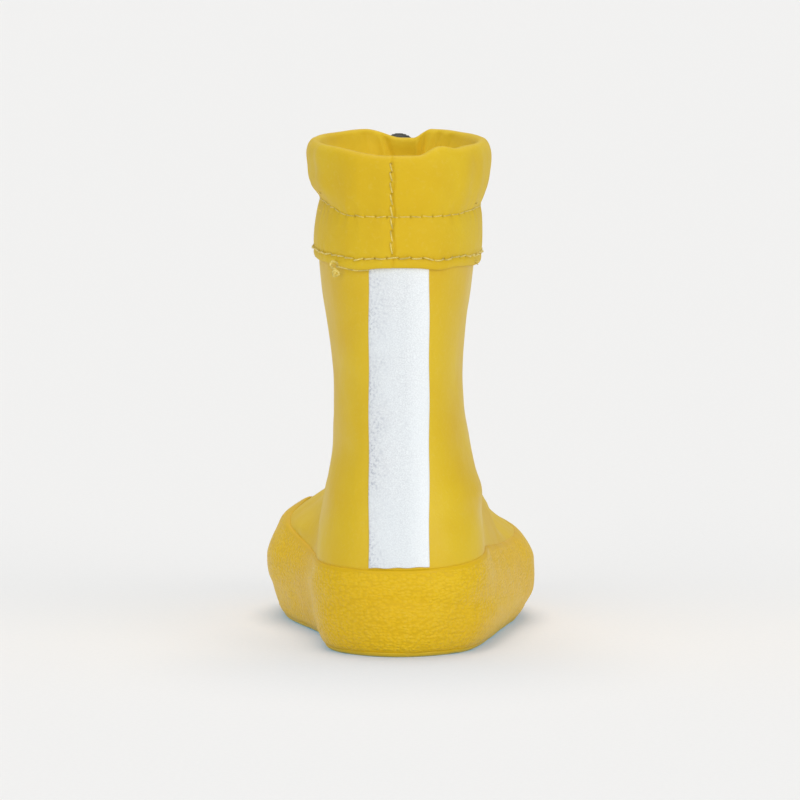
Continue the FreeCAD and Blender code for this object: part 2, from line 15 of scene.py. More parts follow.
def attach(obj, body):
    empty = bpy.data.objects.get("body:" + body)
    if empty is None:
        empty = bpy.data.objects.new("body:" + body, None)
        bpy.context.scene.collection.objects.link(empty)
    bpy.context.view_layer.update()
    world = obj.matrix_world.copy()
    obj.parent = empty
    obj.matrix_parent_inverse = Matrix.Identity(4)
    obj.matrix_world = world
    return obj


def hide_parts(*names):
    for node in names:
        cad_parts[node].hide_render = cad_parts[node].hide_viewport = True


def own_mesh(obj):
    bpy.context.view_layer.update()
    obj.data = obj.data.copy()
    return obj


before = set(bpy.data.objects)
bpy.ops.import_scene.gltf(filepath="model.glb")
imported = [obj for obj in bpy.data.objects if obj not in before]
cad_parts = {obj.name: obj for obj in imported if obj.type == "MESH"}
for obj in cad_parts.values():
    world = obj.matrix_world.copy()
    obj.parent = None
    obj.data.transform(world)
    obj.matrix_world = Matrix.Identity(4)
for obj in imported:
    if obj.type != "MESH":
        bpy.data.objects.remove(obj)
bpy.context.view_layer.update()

MM = 0.001
TURN = 2 * math.pi

# ------------------------------------------------------------------ sizes

TOE_Y = -83.0
TOE_SPRING = 5.0
SPRING_START_Y = -30.0
HEEL_Y = 83.0
HEEL_RISE = 3.6

FOXING_OUT = 2.3
UPPER_IN = -2.0
LINING_OUT = -2.2
LINING_IN = -3.6
RUBBER_TOP = 141.5

OUTSOLE_TOP = 4.0
TREAD_DEPTH = 2.2
GROOVE_WIDTH = 2.6
GROOVE_PITCH = 8.0
FOREFOOT_TREAD = (-74.0, -6.0)
HEEL_TREAD = (46.0, 78.0)
WAIST = (3.0, 33.0)

HEM_Z = 127.6
HEM_STITCH_Z = 131.0
PINCH_Z = 144.4
SEAM_X = 2.2

STRIP_WIDTH = 19.8
STRIP_BOTTOM = 29.9
STRIP_TOP = 131.0

CORD_Z = 153.6
CORD_R = 1.4
LOCK_Y = -19.0
LOCK_R = 6.3
SPRING_TURNS = 4.5
SPRING_R = 3.1
SPRING_WIRE_R = 0.22
SPRING_BOTTOM = 144.5
SPRING_TOP = 150.3
DOME_TOP = 164.6
DOME_R = 7.0

# Cross-sections of the upper from the toe, round the instep, to the top of the shaft: the end on the sole
# or back (y, z), the end on the vamp or front (y, z), inner and outer half widths, where along it it is
# widest, and how square its lower and upper halves are.
SECTIONS = [
    (-83.0, 12.5, -83.0, 27.0, 9.0, 9.0, 0.45, 2.2, 2.0),
    (-80.0, 10.2, -80.0, 34.0, 17.5, 17.5, 0.42, 2.4, 2.0),
    (-74.0, 9.0, -74.0, 41.5, 26.5, 26.5, 0.38, 2.7, 2.0),
    (-66.0, 8.0, -66.0, 45.5, 33.5, 33.0, 0.34, 2.9, 1.9),
    (-54.0, 6.9, -54.0, 48.5, 39.5, 38.5, 0.33, 3.0, 1.75),
    (-38.0, 6.0, -38.0, 51.0, 42.4, 42.5, 0.33, 3.0, 1.6),
    (-16.0, 6.0, -25.0, 55.0, 41.5, 43.2, 0.30, 3.0, 1.45),
    (8.0, 6.3, -18.0, 62.0, 35.0, 39.0, 0.27, 3.0, 1.5),
    (32.0, 7.2, -13.0, 68.5, 29.6, 35.0, 0.25, 3.0, 1.6),
    (55.0, 8.4, -9.0, 72.5, 27.6, 31.2, 0.25, 2.8, 1.75),
    (71.0, 9.8, -6.5, 76.0, 27.2, 28.8, 0.27, 2.6, 1.85),
    (80.5, 17.0, -5.0, 79.0, 26.3, 27.8, 0.30, 2.4, 2.0),
    (83.2, 30.0, -4.0, 82.0, 24.4, 26.2, 0.34, 2.3, 2.05),
    (81.0, 47.0, -3.5, 85.5, 23.2, 23.8, 0.40, 2.3, 2.2),
    (77.8, 66.0, -3.2, 90.0, 21.7, 21.6, 0.46, 2.3, 2.2),
    (75.6, 84.0, -3.2, 97.0, 21.8, 20.8, 0.50, 2.3, 2.2),
    (75.0, 101.0, -3.9, 107.0, 23.4, 21.8, 0.50, 2.3, 2.2),
    (75.3, 120.0, -5.2, 120.0, 25.6, 24.2, 0.50, 2.3, 2.2),
    (76.0, 140.0, -6.6, 140.0, 26.8, 26.2, 0.50, 2.3, 2.2),
    (77.0, 170.0, -8.0, 170.0, 27.6, 27.4, 0.50, 2.3, 2.2),
]
SHAFT_START = 17

# Widest line of the sole in plan, as (y, inner half width, outer half width), and its side, as (height
# above the underside, distance inside that line).
SOLE_OUTLINE = [
    (-86.6, 0.0, 0.0), (-85.0, 12.5, 12.5), (-80.0, 22.5, 22.3), (-72.0, 31.2, 31.0), (-62.0, 37.6, 37.0),
    (-50.0, 41.6, 40.8), (-36.0, 43.4, 43.8), (-20.0, 42.6, 44.6), (-4.0, 38.8, 42.0), (12.0, 33.8, 39.0),
    (28.0, 30.2, 36.2), (44.0, 29.0, 33.4), (58.0, 28.4, 30.4), (70.0, 24.6, 25.6), (79.0, 16.6, 16.9),
    (84.0, 8.0, 8.0), (85.4, 0.0, 0.0),
]
SOLE_SIDE = [
    (0.0, 5.2), (1.2, 4.4), (3.5, 3.0), (7.0, 1.6), (11.0, 0.6), (15.0, 0.4), (20.0, 1.8), (34.0, 8.0),
]

# Top edge of the foxing, as (y, z) from toe to heel, on each side.
FOXING_EDGE_INNER = [
    (-90, 33), (-60, 37.5), (-44, 36.5), (-25, 33.5), (-5, 30.5), (20, 28), (50, 29.5), (90, 29),
]
FOXING_EDGE_OUTER = [
    (-90, 33), (-60, 31), (-36, 29.5), (-14, 29), (10, 29.5), (30, 31), (50, 32.3), (90, 29),
]

# ------------------------------------------------------------------ helpers


def smooth_step(low, high, value):
    t = np.clip((value - low) / (high - low), 0.0, 1.0)
    return t * t * (3 - 2 * t)


def bump_at(value, centre, width):
    """Bell-shaped weight round a centre."""
    return np.exp(-((value - centre) / width) ** 2)


def unit(vectors):
    """Vectors scaled to length 1."""
    return vectors / np.linalg.norm(vectors, axis=-1, keepdims=True)


def distances_along(path):
    """Distance of each point of a path from its start."""
    return np.concatenate([[0], np.cumsum(np.linalg.norm(np.diff(path, axis=0), axis=1))])


def outward_in_plan(ring):
    """Unit directions out of a closed ring of plan points."""
    along = np.roll(ring, -1, axis=0) - np.roll(ring, 1, axis=0)
    outward = unit(np.stack([along[:, 1], -along[:, 0]], axis=1))
    return outward * np.sign(np.sum(outward * (ring - ring.mean(axis=0)), axis=1))[:, None]


def hermite_row(rows, stations, s):
    """Values of the table at the distance s along it, on smooth curves."""
    last = len(rows) - 1
    k = int(min(max(np.searchsorted(stations, s, side="right") - 1, 0), last - 1))
    span = stations[k + 1] - stations[k]
    t = (s - stations[k]) / span
    slopes = []
    for j in (k, k + 1):
        low = max(j - 1, 0)
        high = min(j + 1, last)
        slopes.append((rows[high] - rows[low]) / (stations[high] - stations[low]))
    t2 = t * t
    t3 = t2 * t
    value = (2 * t3 - 3 * t2 + 1) * rows[k] + (3 * t2 - 2 * t3) * rows[k + 1]
    return value + span * ((t3 - 2 * t2 + t) * slopes[0] + (t3 - t2) * slopes[1])


SECTION_ROWS = [np.array(row) for row in SECTIONS]
SECTION_STATIONS = [0.0]
for a_row, b_row in zip(SECTION_ROWS, SECTION_ROWS[1:]):
    gap = max(math.dist(a_row[0:2], b_row[0:2]), math.dist(a_row[2:4], b_row[2:4]))
    SECTION_STATIONS.append(SECTION_STATIONS[-1] + gap)
BODY_LENGTH = SECTION_STATIONS[-1]


def signed_power(value, power):
    return np.copysign(np.abs(value) ** power, value)


def section_ring(row, out, angles):
    """Points round one cross-section of the boot, grown outwards by the distance out."""
    back_y, back_z, front_y, front_z, inner, outer, widest, low_power, high_power = row
    toe_share = min(max((-38.0 - back_y) / 30.0, 0.0), 1.0)
    back = np.array([0.0, back_y - out * toe_share, back_z])
    front = np.array([0.0, front_y - out * toe_share, front_z])
    length = np.linalg.norm(front - back)
    along = (front - back) / length
    side = np.cos(angles)
    rise = np.sin(angles)
    power = np.where(rise > 0, high_power, low_power)
    half = np.where(side > 0, inner, outer) + out
    reach = np.where(rise > 0, length * (1 - widest) + out, length * widest + out)
    x = half * signed_power(side, 2 / power)
    w = length * widest + reach * signed_power(rise, 2 / power)
    points = back + w[:, None] * along
    points[:, 0] = x
    return points


def body_grid(out, row_count, column_count, start=0.0, end=BODY_LENGTH):
    """Rows of rings over the boot's body."""
    angles = TURN * (np.arange(column_count) + 0.5) / column_count - math.pi / 2
    rows = []
    for s in np.linspace(start, end, row_count):
        rows.append(section_ring(hermite_row(SECTION_ROWS, SECTION_STATIONS, s), out, angles))
    grid = np.array(rows)
    grid[:, :, 0] += body_leans(*np.moveaxis(grid, 2, 0))
    return grid


def body_leans(x, y, z):
    """Small uneven moves of the body across its width: flatter outer vamp, fuller ball and ankle."""
    front = smooth_step(12.0, -6.0, y)
    lean = 2.9 * bump_at(z, 34.8, 4.2) * smooth_step(-16.0, -28.0, x) * front
    lean += 1.9 * bump_at(z, 33.4, 3.4) * smooth_step(20.0, 32.0, x) * front
    lean -= 1.2 * bump_at(z, 51.5, 5.0) * smooth_step(-10.0, -21.0, x) * (1 - front)
    lean -= 1.1 * bump_at(z, 65.0, 8.0) * smooth_step(10.0, 21.0, x) * (1 - front)
    return lean


def sole_line(y):
    """Height of the sole's underside above the ground."""
    past = np.maximum(0.0, (SPRING_START_Y - y) / (SPRING_START_Y - TOE_Y))
    return TOE_SPRING * past * past


def bed_line(y):
    """Rise of the foot's bed, which follows the toe spring and climbs to the heel."""
    t = np.clip(y / HEEL_Y, 0.0, 1.0)
    return sole_line(y) + HEEL_RISE * t * t * (3 - 2 * t)


def smooth_curve(points, count, closed=False):
    """Points spread evenly along a smooth curve through the given ones."""
    base = np.array(points, float)
    if closed:
        base = np.vstack([base[-2:], base, base[:3]])
    else:
        base = np.vstack([2 * base[0] - base[1], base, 2 * base[-1] - base[-2]])
    fine = []
    for k in range(1, len(base) - 2):
        p0, p1, p2, p3 = base[k - 1:k + 3]
        for t in np.linspace(0, 1, 24, endpoint=False):
            fine.append(0.5 * (2 * p1 + (p2 - p0) * t + (2 * p0 - 5 * p1 + 4 * p2 - p3) * t ** 2
                               + (3 * p1 - p0 - 3 * p2 + p3) * t ** 3))
    if closed:
        fine = fine[24:24 * (len(points) + 1) + 1]
    else:
        fine.append(base[-2])
    fine = np.array(fine)
    steps = distances_along(fine)
    wanted = np.linspace(0, steps[-1], count, endpoint=not closed)
    return np.stack([np.interp(wanted, steps, fine[:, i]) for i in range(fine.shape[1])], axis=1)


def grid_faces(rows, columns, closed_rows=False, closed_columns=True, start=0):
    """Quads of a grid of points, as lists of point numbers."""
    r = np.arange(rows if closed_rows else rows - 1)
    c = np.arange(columns if closed_columns else columns - 1)
    rr, cc = np.meshgrid(r, c, indexing="ij")
    next_r = (rr + 1) % rows
    next_c = (cc + 1) % columns
    quads = np.stack([rr * columns + cc, rr * columns + next_c, next_r * columns + next_c,
                      next_r * columns + cc], axis=-1).reshape(-1, 4)
    return (quads + start).tolist()


def capped_faces(rows, columns, turned=False):
    """Faces of a stack of rings closed at both ends; turned if the rings are stacked the other way."""
    first = list(range(columns))
    last = list(range((rows - 1) * columns, rows * columns))
    ends = [first, last[::-1]] if turned else [first[::-1], last]
    return grid_faces(rows, columns) + ends


def make_mesh(name, points, faces, material, smooth=True, **layers):
    """Mesh object from points in millimetres, with named float layers on its points."""
    mesh = bpy.data.meshes.new(name)
    mesh.from_pydata((np.asarray(points) * MM).tolist(), [], faces)
    mesh.validate()
    mesh.polygons.foreach_set("use_smooth", [smooth] * len(mesh.polygons))
    for layer, values in layers.items():
        attribute = mesh.attributes.new(layer, "FLOAT_VECTOR" if np.ndim(values) == 2 else "FLOAT", "POINT")
        key = "vector" if np.ndim(values) == 2 else "value"
        attribute.data.foreach_set(key, np.asarray(values, float).ravel())
    mesh.materials.append(material)
    mesh.update()
    made = bpy.data.objects.new(name, mesh)
    bpy.context.scene.collection.objects.link(made)
    return made


def stands_for(piece, node, body="boot"):
    """The piece rides on a body and is shown in place of a CAD node."""
    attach(piece, body)
    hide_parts(node)


def value_noise(points, scale, seed=0):
    """Smooth noise from -1 to 1, as a sum of turned waves; points and scale are in millimetres."""
    rng = np.random.default_rng(seed)
    total = np.zeros(len(points))
    for _ in range(14):
        direction = rng.normal(size=3)
        direction /= np.linalg.norm(direction)
        wave = TURN / (scale * rng.uniform(0.7, 1.6))
        total += np.sin(points @ direction * wave + rng.uniform(0, TURN))
    return total / 4.0


def tube(path, radii, sides, closed=False):
    """Points and faces of a tube along a path; radii is one value or one for each point."""
    path = np.asarray(path, float)
    count = len(path)
    radii = np.broadcast_to(np.asarray(radii, float), (count,))
    if closed:
        tangents = np.roll(path, -1, axis=0) - np.roll(path, 1, axis=0)
    else:
        tangents = np.gradient(path, axis=0)
    tangents = unit(tangents)
    normal = unit(np.cross(tangents[0], [0.31, 0.17, 0.93]))
    angles = TURN * np.arange(sides) / sides
    points = []
    for centre, tangent, radius in zip(path, tangents, radii):
        normal = unit(normal - tangent * (normal @ tangent))
        across = np.cross(tangent, normal)
        points.append(centre + radius * (np.cos(angles)[:, None] * normal + np.sin(angles)[:, None] * across))
    faces = grid_faces(count, sides, closed_rows=True) if closed else capped_faces(count, sides)
    return np.vstack(points), faces


def join_pieces(pieces):
    """One list of points and one of faces from several."""
    points = []
    faces = []
    start = 0
    for piece_points, piece_faces in pieces:
        points.append(piece_points)
        faces += [[i + start for i in face] for face in piece_faces]
        start += len(piece_points)
    return np.vstack(points), faces


def dress(node, material):
    """Show a CAD node in a material of its own."""
    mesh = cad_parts[node].data
    mesh.materials.clear()
    mesh.materials.append(material)
    for polygon in mesh.polygons:
        polygon.material_index = 0


# ------------------------------------------------------------------ materials


class Graph:
    """Short way to add and join shader nodes."""

    def __init__(self, name):
        self.material = bpy.data.materials.new(name)
        self.material.use_nodes = True
        self.nodes = self.material.node_tree.nodes
        self.shader = self.nodes["Principled BSDF"]
        self.links = self.material.node_tree.links
        self.place = self.add("ShaderNodeTexCoord").outputs["Object"]

    def add(self, kind, **settings):
        node = self.nodes.new(kind)
        for key, value in settings.items():
            setattr(node, key, value)
        return node

    def join(self, source, target):
        self.links.new(source, target)

    def attribute(self, name, output="Fac"):
        return self.add("ShaderNodeAttribute", attribute_name=name).outputs[output]

    def noise(self, scale, detail=3.0, roughness=0.5, stretch=None):
        """Noise with the given scale per metre."""
        node = self.add("ShaderNodeTexNoise")
        node.inputs["Scale"].default_value = scale
        node.inputs["Detail"].default_value = detail
        node.inputs["Roughness"].default_value = roughness
        self.join(self.stretched(self.place, stretch), node.inputs["Vector"])
        return node.outputs["Fac"]

    def cells(self, scale, stretch=None):
        node = self.add("ShaderNodeTexVoronoi")
        node.inputs["Scale"].default_value = scale
        self.join(self.stretched(self.place, stretch), node.inputs["Vector"])
        return node.outputs["Distance"]

    def stretched(self, vector, stretch):
        if stretch is None:
            return vector
        node = self.add("ShaderNodeMapping")
        node.inputs["Scale"].default_value = stretch
        self.join(vector, node.inputs["Vector"])
        return node.outputs["Vector"]

    def sums(self, operation, a, b, clamp=False):
        node = self.add("ShaderNodeMath", operation=operation, use_clamp=clamp)
        for socket, value in zip(node.inputs, (a, b)):
            if isinstance(value, (int, float)):
                socket.default_value = value
            else:
                self.join(value, socket)
        return node.outputs[0]

    def spread(self, value, low, high, to_low=0.0, to_high=1.0):
        """Value from the range low to high, moved to another range."""
        node = self.add("ShaderNodeMapRange")
        for key, number in zip(("From Min", "From Max", "To Min", "To Max"), (low, high, to_low, to_high)):
            node.inputs[key].default_value = number
        self.join(value, node.inputs["Value"])
        return node.outputs["Result"]

    def blend(self, factor, a, b):
        """Mix of two colours."""
        node = self.add("ShaderNodeMix", data_type="RGBA")
        if isinstance(factor, (int, float)):
            node.inputs["Factor"].default_value = factor
        else:
            self.join(factor, node.inputs["Factor"])
        for key, colour in (("A", a), ("B", b)):
            socket = next(i for i in node.inputs if i.name == key and i.type == "RGBA")
            if isinstance(colour, tuple):
                socket.default_value = (*colour, 1.0)
            else:
                self.join(colour, socket)
        return next(o for o in node.outputs if o.type == "RGBA")

    def bump(self, height, strength, distance, below=None):
        node = self.add("ShaderNodeBump")
        node.inputs["Strength"].default_value = strength
        node.inputs["Distance"].default_value = distance
        self.join(height, node.inputs["Height"])
        if below is not None:
            self.join(below, node.inputs["Normal"])
        return node.outputs["Normal"]

    def finish(self, colour=None, roughness=None, normal=None, **constants):
        shader = self.shader
        if colour is not None:
            self.join(colour, shader.inputs["Base Color"])
        if roughness is not None:
            if isinstance(roughness, (int, float)):
                shader.inputs["Roughness"].default_value = roughness
            else:
                self.join(roughness, shader.inputs["Roughness"])
        if normal is not None:
            self.join(normal, shader.inputs["Normal"])
        for key, value in constants.items():
            shader.inputs[key.replace("_", " ")].default_value = value
        return self.material


YELLOW = (0.700, 0.490, 0.012)
YELLOW_DEEP = (0.665, 0.435, 0.006)
YELLOW_PALE = (0.730, 0.570, 0.110)
# Paler colour painted on the cuff's inner ply: painted light that stands in for light reaching the shaded inside
# of the boot.
INNER_PLY_PAINTED_LIGHT = (0.900, 0.640, 0.030)


def rubber_material(name, tone=1.0, speckle=0.5):
    """Satin rubber: faint mottling, fine dust specks and small unevenness."""
    g = Graph(name)
    broad = g.noise(28, 3, 0.55)
    fine = g.noise(900, 4, 0.6)
    colour = g.blend(g.spread(broad, 0.35, 0.65), tinted(YELLOW_DEEP, tone), tinted(YELLOW, tone))
    colour = g.blend(g.spread(fine, 0.52, 0.75, 0.0, speckle * 0.35), colour, tinted(YELLOW_PALE, tone))
    rough = g.spread(g.noise(60, 4, 0.6), 0.3, 0.7, 0.40, 0.52)
    normal = g.bump(fine, 0.18, 0.0004)
    normal = g.bump(g.noise(110, 3), 0.22, 0.0012, below=normal)
    return g.finish(colour, rough, normal, Specular_IOR_Level=0.34)


def tinted(colour, tone):
    return tuple(channel * tone for channel in colour)


def foxing_material(name):
    """Rubber with rows of fine raised grains, with painted highlights on their tops and painted shade in the
    hollows between them; smooth where there is no relief.
    """
    g = Graph(name)
    wrapped = g.attribute("wrap", "Vector")
    bend = g.add("ShaderNodeTexNoise")
    bend.inputs["Scale"].default_value = 260
    g.join(wrapped, bend.inputs["Vector"])
    shift = g.add("ShaderNodeVectorMath", operation="SCALE")
    shift.inputs["Scale"].default_value = 0.0012
    g.join(bend.outputs["Color"], shift.inputs[0])
    moved = g.add("ShaderNodeVectorMath", operation="ADD")
    g.join(wrapped, moved.inputs[0])
    g.join(shift.outputs[0], moved.inputs[1])
    grains = g.add("ShaderNodeTexVoronoi")
    grains.inputs["Scale"].default_value = 1000
    grains.inputs["Randomness"].default_value = 0.8
    g.join(g.stretched(moved.outputs[0], (0.60, 0.60, 1.0)), grains.inputs["Vector"])
    tops = g.spread(grains.outputs["Distance"], 0.75, 0.05)
    tops = g.sums("MULTIPLY", tops, g.spread(g.attribute("relief"), 0.0, 0.25))
    broad = g.noise(24, 3, 0.55)
    colour = g.blend(g.spread(broad, 0.35, 0.65), (0.725, 0.452, 0.002), (0.750, 0.490, 0.003))
    # Painted highlight: the grain tops are painted paler.
    colour = g.blend(g.spread(tops, 0.35, 1.0, 0.0, 0.16), colour, YELLOW_PALE)
    # Painted shade: the hollows between the grains are painted darker.
    colour = g.blend(g.spread(tops, 0.0, 0.40, 0.30, 0.0), colour, (0.52, 0.31, 0.004))
    rough = g.spread(g.noise(140, 3), 0.3, 0.7, 0.36, 0.48)
    normal = g.bump(tops, 0.80, 0.00035)
    normal = g.bump(g.noise(1500, 3), 0.12, 0.0003, below=normal)
    return g.finish(colour, rough, normal, Specular_IOR_Level=0.24)


def cloth_material(name, light, deep, threads=1700.0, rough=0.60, sheen=0.04):
    """Coated cloth: a fine plain weave under a matt film, with painted light on the inner ply and painted shade
    in the needle holes.
    """
    g = Graph(name)
    along = g.attribute("weave", "Vector")
    split = g.add("ShaderNodeSeparateXYZ")
    g.join(along, split.inputs[0])
    warp = g.sums("SINE", g.sums("MULTIPLY", split.outputs["X"], threads * TURN), 0.0)
    weft = g.sums("SINE", g.sums("MULTIPLY", split.outputs["Y"], threads * TURN), 0.0)
    weave = g.sums("MULTIPLY", warp, weft)
    broad = g.noise(30, 3, 0.6)
    colour = g.blend(g.spread(broad, 0.35, 0.65), deep, light)
    colour = g.blend(g.spread(weave, -1.0, 1.0, 0.0, 0.10), colour, tinted(deep, 0.8))
    colour = g.blend(g.spread(g.noise(700, 3), 0.55, 0.8, 0.0, 0.2), colour, YELLOW_PALE)
    patchy = g.spread(g.noise(420, 2), 0.40, 0.62, 0.15, 0.9)
    # Painted light: the inner ply is painted paler than the outer face.
    colour = g.blend(g.attribute("inside"), colour, INNER_PLY_PAINTED_LIGHT)
    # Painted shade: the needle holes are painted dark, unevenly.
    colour = g.blend(g.sums("MULTIPLY", g.attribute("hole"), patchy), colour, (0.20, 0.12, 0.012))
    normal = g.bump(weave, 0.16, 0.00012)
    normal = g.bump(g.noise(160, 4, 0.6), 0.30, 0.0010, below=normal)
    return g.finish(colour, rough, normal, Specular_IOR_Level=0.26, Sheen_Weight=sheen, Sheen_Roughness=0.5)


def plain_cloth_material(name, light, deep, scale, rough=0.9):
    """Brushed or knitted cloth."""
    g = Graph(name)
    loops = g.cells(scale, stretch=(1.0, 1.0, 1.6))
    fuzz = g.noise(scale * 1.3, 5, 0.7)
    colour = g.blend(g.spread(loops, 0.1, 0.7), light, deep)
    colour = g.blend(g.spread(fuzz, 0.4, 0.7, 0.0, 0.4), colour, light)
    normal = g.bump(loops, 0.5, 0.0008)
    normal = g.bump(fuzz, 0.4, 0.0006, below=normal)
    return g.finish(colour, rough, normal, Specular_IOR_Level=0.2, Sheen_Weight=0.4, Sheen_Roughness=0.5)


def tape_material(name):
    """Reflective tape: pale grey with glass-bead grain, rubbed and specked along one edge, with a painted
    highlight along the other side.
    """
    g = Graph(name)
    split = g.add("ShaderNodeSeparateXYZ")
    g.join(g.place, split.inputs[0])
    across = split.outputs["X"]
    beads = g.noise(2600, 2, 0.6)
    colour = g.blend(g.spread(beads, 0.35, 0.7), (0.64, 0.67, 0.70), (0.82, 0.86, 0.88))
    edge_wear = g.spread(across, 0.001, 0.0098, 0.0, 0.9)
    specks = g.spread(g.noise(1300, 4, 0.75), 0.50, 0.62)
    patches = g.spread(g.noise(95, 3, 0.6), 0.34, 0.56)
    wear = g.sums("MULTIPLY", g.sums("MULTIPLY", specks, patches), edge_wear, clamp=True)
    colour = g.blend(wear, colour, (0.33, 0.36, 0.44))
    tint = g.spread(g.noise(40, 2), 0.4, 0.7, 0.0, 0.35)
    colour = g.blend(tint, colour, (0.73, 0.79, 0.825))
    # Painted highlight: the side away from the worn edge is painted almost white, fading towards the middle.
    bright = g.spread(across, -0.0098, -0.002, 0.5, 0.0)
    colour = g.blend(bright, colour, (0.93, 0.97, 0.985))
    normal = g.bump(beads, 0.25, 0.0002)
    normal = g.bump(g.noise(220, 3), 0.25, 0.0006, below=normal)
    return g.finish(colour, 0.5, normal, Specular_IOR_Level=0.5)


def thread_material(name, light, deep):
    """Twisted sewing thread."""
    g = Graph(name)
    fibres = g.noise(2400, 3, 0.6, stretch=(1.0, 1.0, 2.5))
    colour = g.blend(g.spread(fibres, 0.35, 0.65), deep, light)
    colour = g.blend(g.spread(g.noise(300, 2), 0.45, 0.65, 0.0, 0.6), colour, tinted(deep, 0.6))
    return g.finish(colour, 0.6, g.bump(fibres, 0.4, 0.0002), Specular_IOR_Level=0.3, Sheen_Weight=0.3)


def plastic_material(name, light, deep, rough=0.42):
    """Moulded plastic with a fine spark texture, rubbed lighter in places."""
    g = Graph(name)
    grain = g.noise(1800, 3, 0.6)
    colour = g.blend(g.spread(g.noise(180, 4, 0.6), 0.4, 0.7), deep, light)
    colour = g.blend(g.spread(grain, 0.6, 0.8, 0.0, 0.3), colour, tinted(light, 1.6))
    roughness = g.spread(g.noise(240, 3), 0.3, 0.7, rough - 0.06, rough + 0.10)
    return g.finish(colour, roughness, g.bump(grain, 0.25, 0.0002), Specular_IOR_Level=0.5)


def metal_material(name, colour_light, colour_dark, rough):
    """Drawn or stamped metal with fine scratches."""
    g = Graph(name)
    scratches = g.noise(900, 3, 0.6, stretch=(1.0, 1.0, 6.0))
    colour = g.blend(g.spread(scratches, 0.35, 0.7), colour_dark, colour_light)
    roughness = g.spread(scratches, 0.3, 0.7, rough - 0.05, rough + 0.12)
    return g.finish(colour, roughness, g.bump(scratches, 0.15, 0.0001), Metallic=1.0)


upper_rubber = rubber_material("upper_rubber")
outsole_rubber = rubber_material("outsole_rubber", tone=0.94, speckle=0.3)
foxing_rubber = foxing_material("foxing_rubber")
cuff_cloth = cloth_material("cuff_cloth", YELLOW, YELLOW_DEEP)
lining_cloth = plain_cloth_material("lining_cloth", (0.50, 0.48, 0.43), (0.34, 0.32, 0.28), 900)
footbed_cloth = plain_cloth_material("footbed_cloth", (0.20, 0.20, 0.19), (0.11, 0.11, 0.105), 1100)
tape = tape_material("reflective_tape")
thread = thread_material("thread", (0.84, 0.70, 0.22), (0.66, 0.50, 0.07))
cord_cloth = thread_material("cord_cloth", (0.045, 0.045, 0.040), (0.015, 0.015, 0.013))
lock_plastic = plastic_material("lock_plastic", (0.060, 0.060, 0.042), (0.030, 0.030, 0.020))
eyelet_metal = metal_material("eyelet_metal", (0.62, 0.56, 0.38), (0.42, 0.37, 0.24), 0.32)
spring_steel = metal_material("spring_steel", (0.62, 0.62, 0.64), (0.45, 0.45, 0.47), 0.25)
stiffener_board = plain_cloth_material("stiffener_board", (0.62, 0.58, 0.50), (0.45, 0.41, 0.34), 700)
fibre_board = plain_cloth_material("fibre_board", (0.42, 0.31, 0.19), (0.29, 0.20, 0.11), 600)
sole_foam = plain_cloth_material("sole_foam", (0.72, 0.70, 0.66), (0.58, 0.56, 0.52), 1400)

# ------------------------------------------------------------------ shared surfaces


def station_at_height(z):
    """Distance along the sections where the level ones reach the height z."""
    low = SECTION_ROWS[SHAFT_START:]
    stations = SECTION_STATIONS[SHAFT_START:]
    return float(np.interp(z, [row[1] for row in low], stations))


def grid_normals(grid, centre_line):
    """Outward normals of a grid of rings, away from each ring's own centre."""
    along = np.gradient(grid, axis=0)
    around = np.roll(grid, -1, axis=1) - np.roll(grid, 1, axis=1)
    normals = np.cross(around, along)
    normals /= np.linalg.norm(normals, axis=2)[:, :, None] + 1e-12
    outward = grid - centre_line[:, None, :]
    flip = np.sign(np.sum(normals * outward, axis=2))
    return normals * flip[:, :, None]


def body_tree(out):
    """Search tree over the boot's body grown by the distance out."""
    grid = body_grid(out, 420, 240)
    return BVHTree.FromPolygons(grid.reshape(-1, 3).tolist(), capped_faces(*grid.shape[:2]))


def ring_outline(count):
    """Points and outward directions, in plan, evenly round the widest line of the sole."""
    points = [(0.0, SOLE_OUTLINE[0][0])]
    points += [(inner, y) for y, inner, outer in SOLE_OUTLINE[1:-1]]
    points.append((0.0, SOLE_OUTLINE[-1][0]))
    points += [(-outer, y) for y, inner, outer in reversed(SOLE_OUTLINE[1:-1])]
    ring = smooth_curve(points, count, closed=True)
    return ring, outward_in_plan(ring)


def foxing_edge(x, y):
    """Height of the foxing's top edge, blended between its inner and outer sides."""
    heights = []
    for edge in (FOXING_EDGE_INNER, FOXING_EDGE_OUTER):
        curve = smooth_curve(edge, 200)
        heights.append(np.interp(y, curve[:, 0], curve[:, 1]))
    share = smooth_step(-30.0, 30.0, x)
    return heights[0] * share + heights[1] * (1 - share)


def sole_inset(level):
    """Distance inside the sole's outline at a level above its underside."""
    curve = smooth_curve(SOLE_SIDE, 120)
    return np.interp(level, curve[:, 0], curve[:, 1])


# ------------------------------------------------------------------ upper and lining


def body_layer(shown_out, shown_rows, hidden_out, hidden_rows, columns, push):
    """Points and faces of one layer of the wall, its shown face moved along its normals by push."""
    end = station_at_height(RUBBER_TOP)
    grid = body_grid(shown_out, shown_rows, columns, end=end)
    normals = grid_normals(grid, grid.mean(axis=1)).reshape(-1, 3)
    flat = grid.reshape(-1, 3)
    shown = flat + normals * push(flat)[:, None]
    hidden = body_grid(hidden_out, hidden_rows, columns, end=end)[::-1].reshape(-1, 3)
    turned = shown_out < hidden_out
    return np.vstack([shown, hidden]), capped_faces(shown_rows + hidden_rows, columns, turned)


def rubber_push(points):
    """Soft unevenness of the rubber, with its creases at the ankle."""
    unevenness = 0.16 * value_noise(points, 46, seed=3) + 0.05 * value_noise(points, 15, seed=5)
    return unevenness + ankle_creases(points)


def lining_push(points):
    """Nap of the lining, which stands inwards."""
    return -(0.1 + (0.20 * value_noise(points, 11, seed=8) + 0.10 * value_noise(points, 4, seed=9)))


def make_upper():
    """Rubber upper: a smooth wall with soft unevenness and flex creases at the ankle."""
    points, faces = body_layer(0.0, 300, UPPER_IN, 90, 220, rubber_push)
    piece = make_mesh("rubber_upper", points, faces, upper_rubber)
    stands_for(piece, "upper_shell")


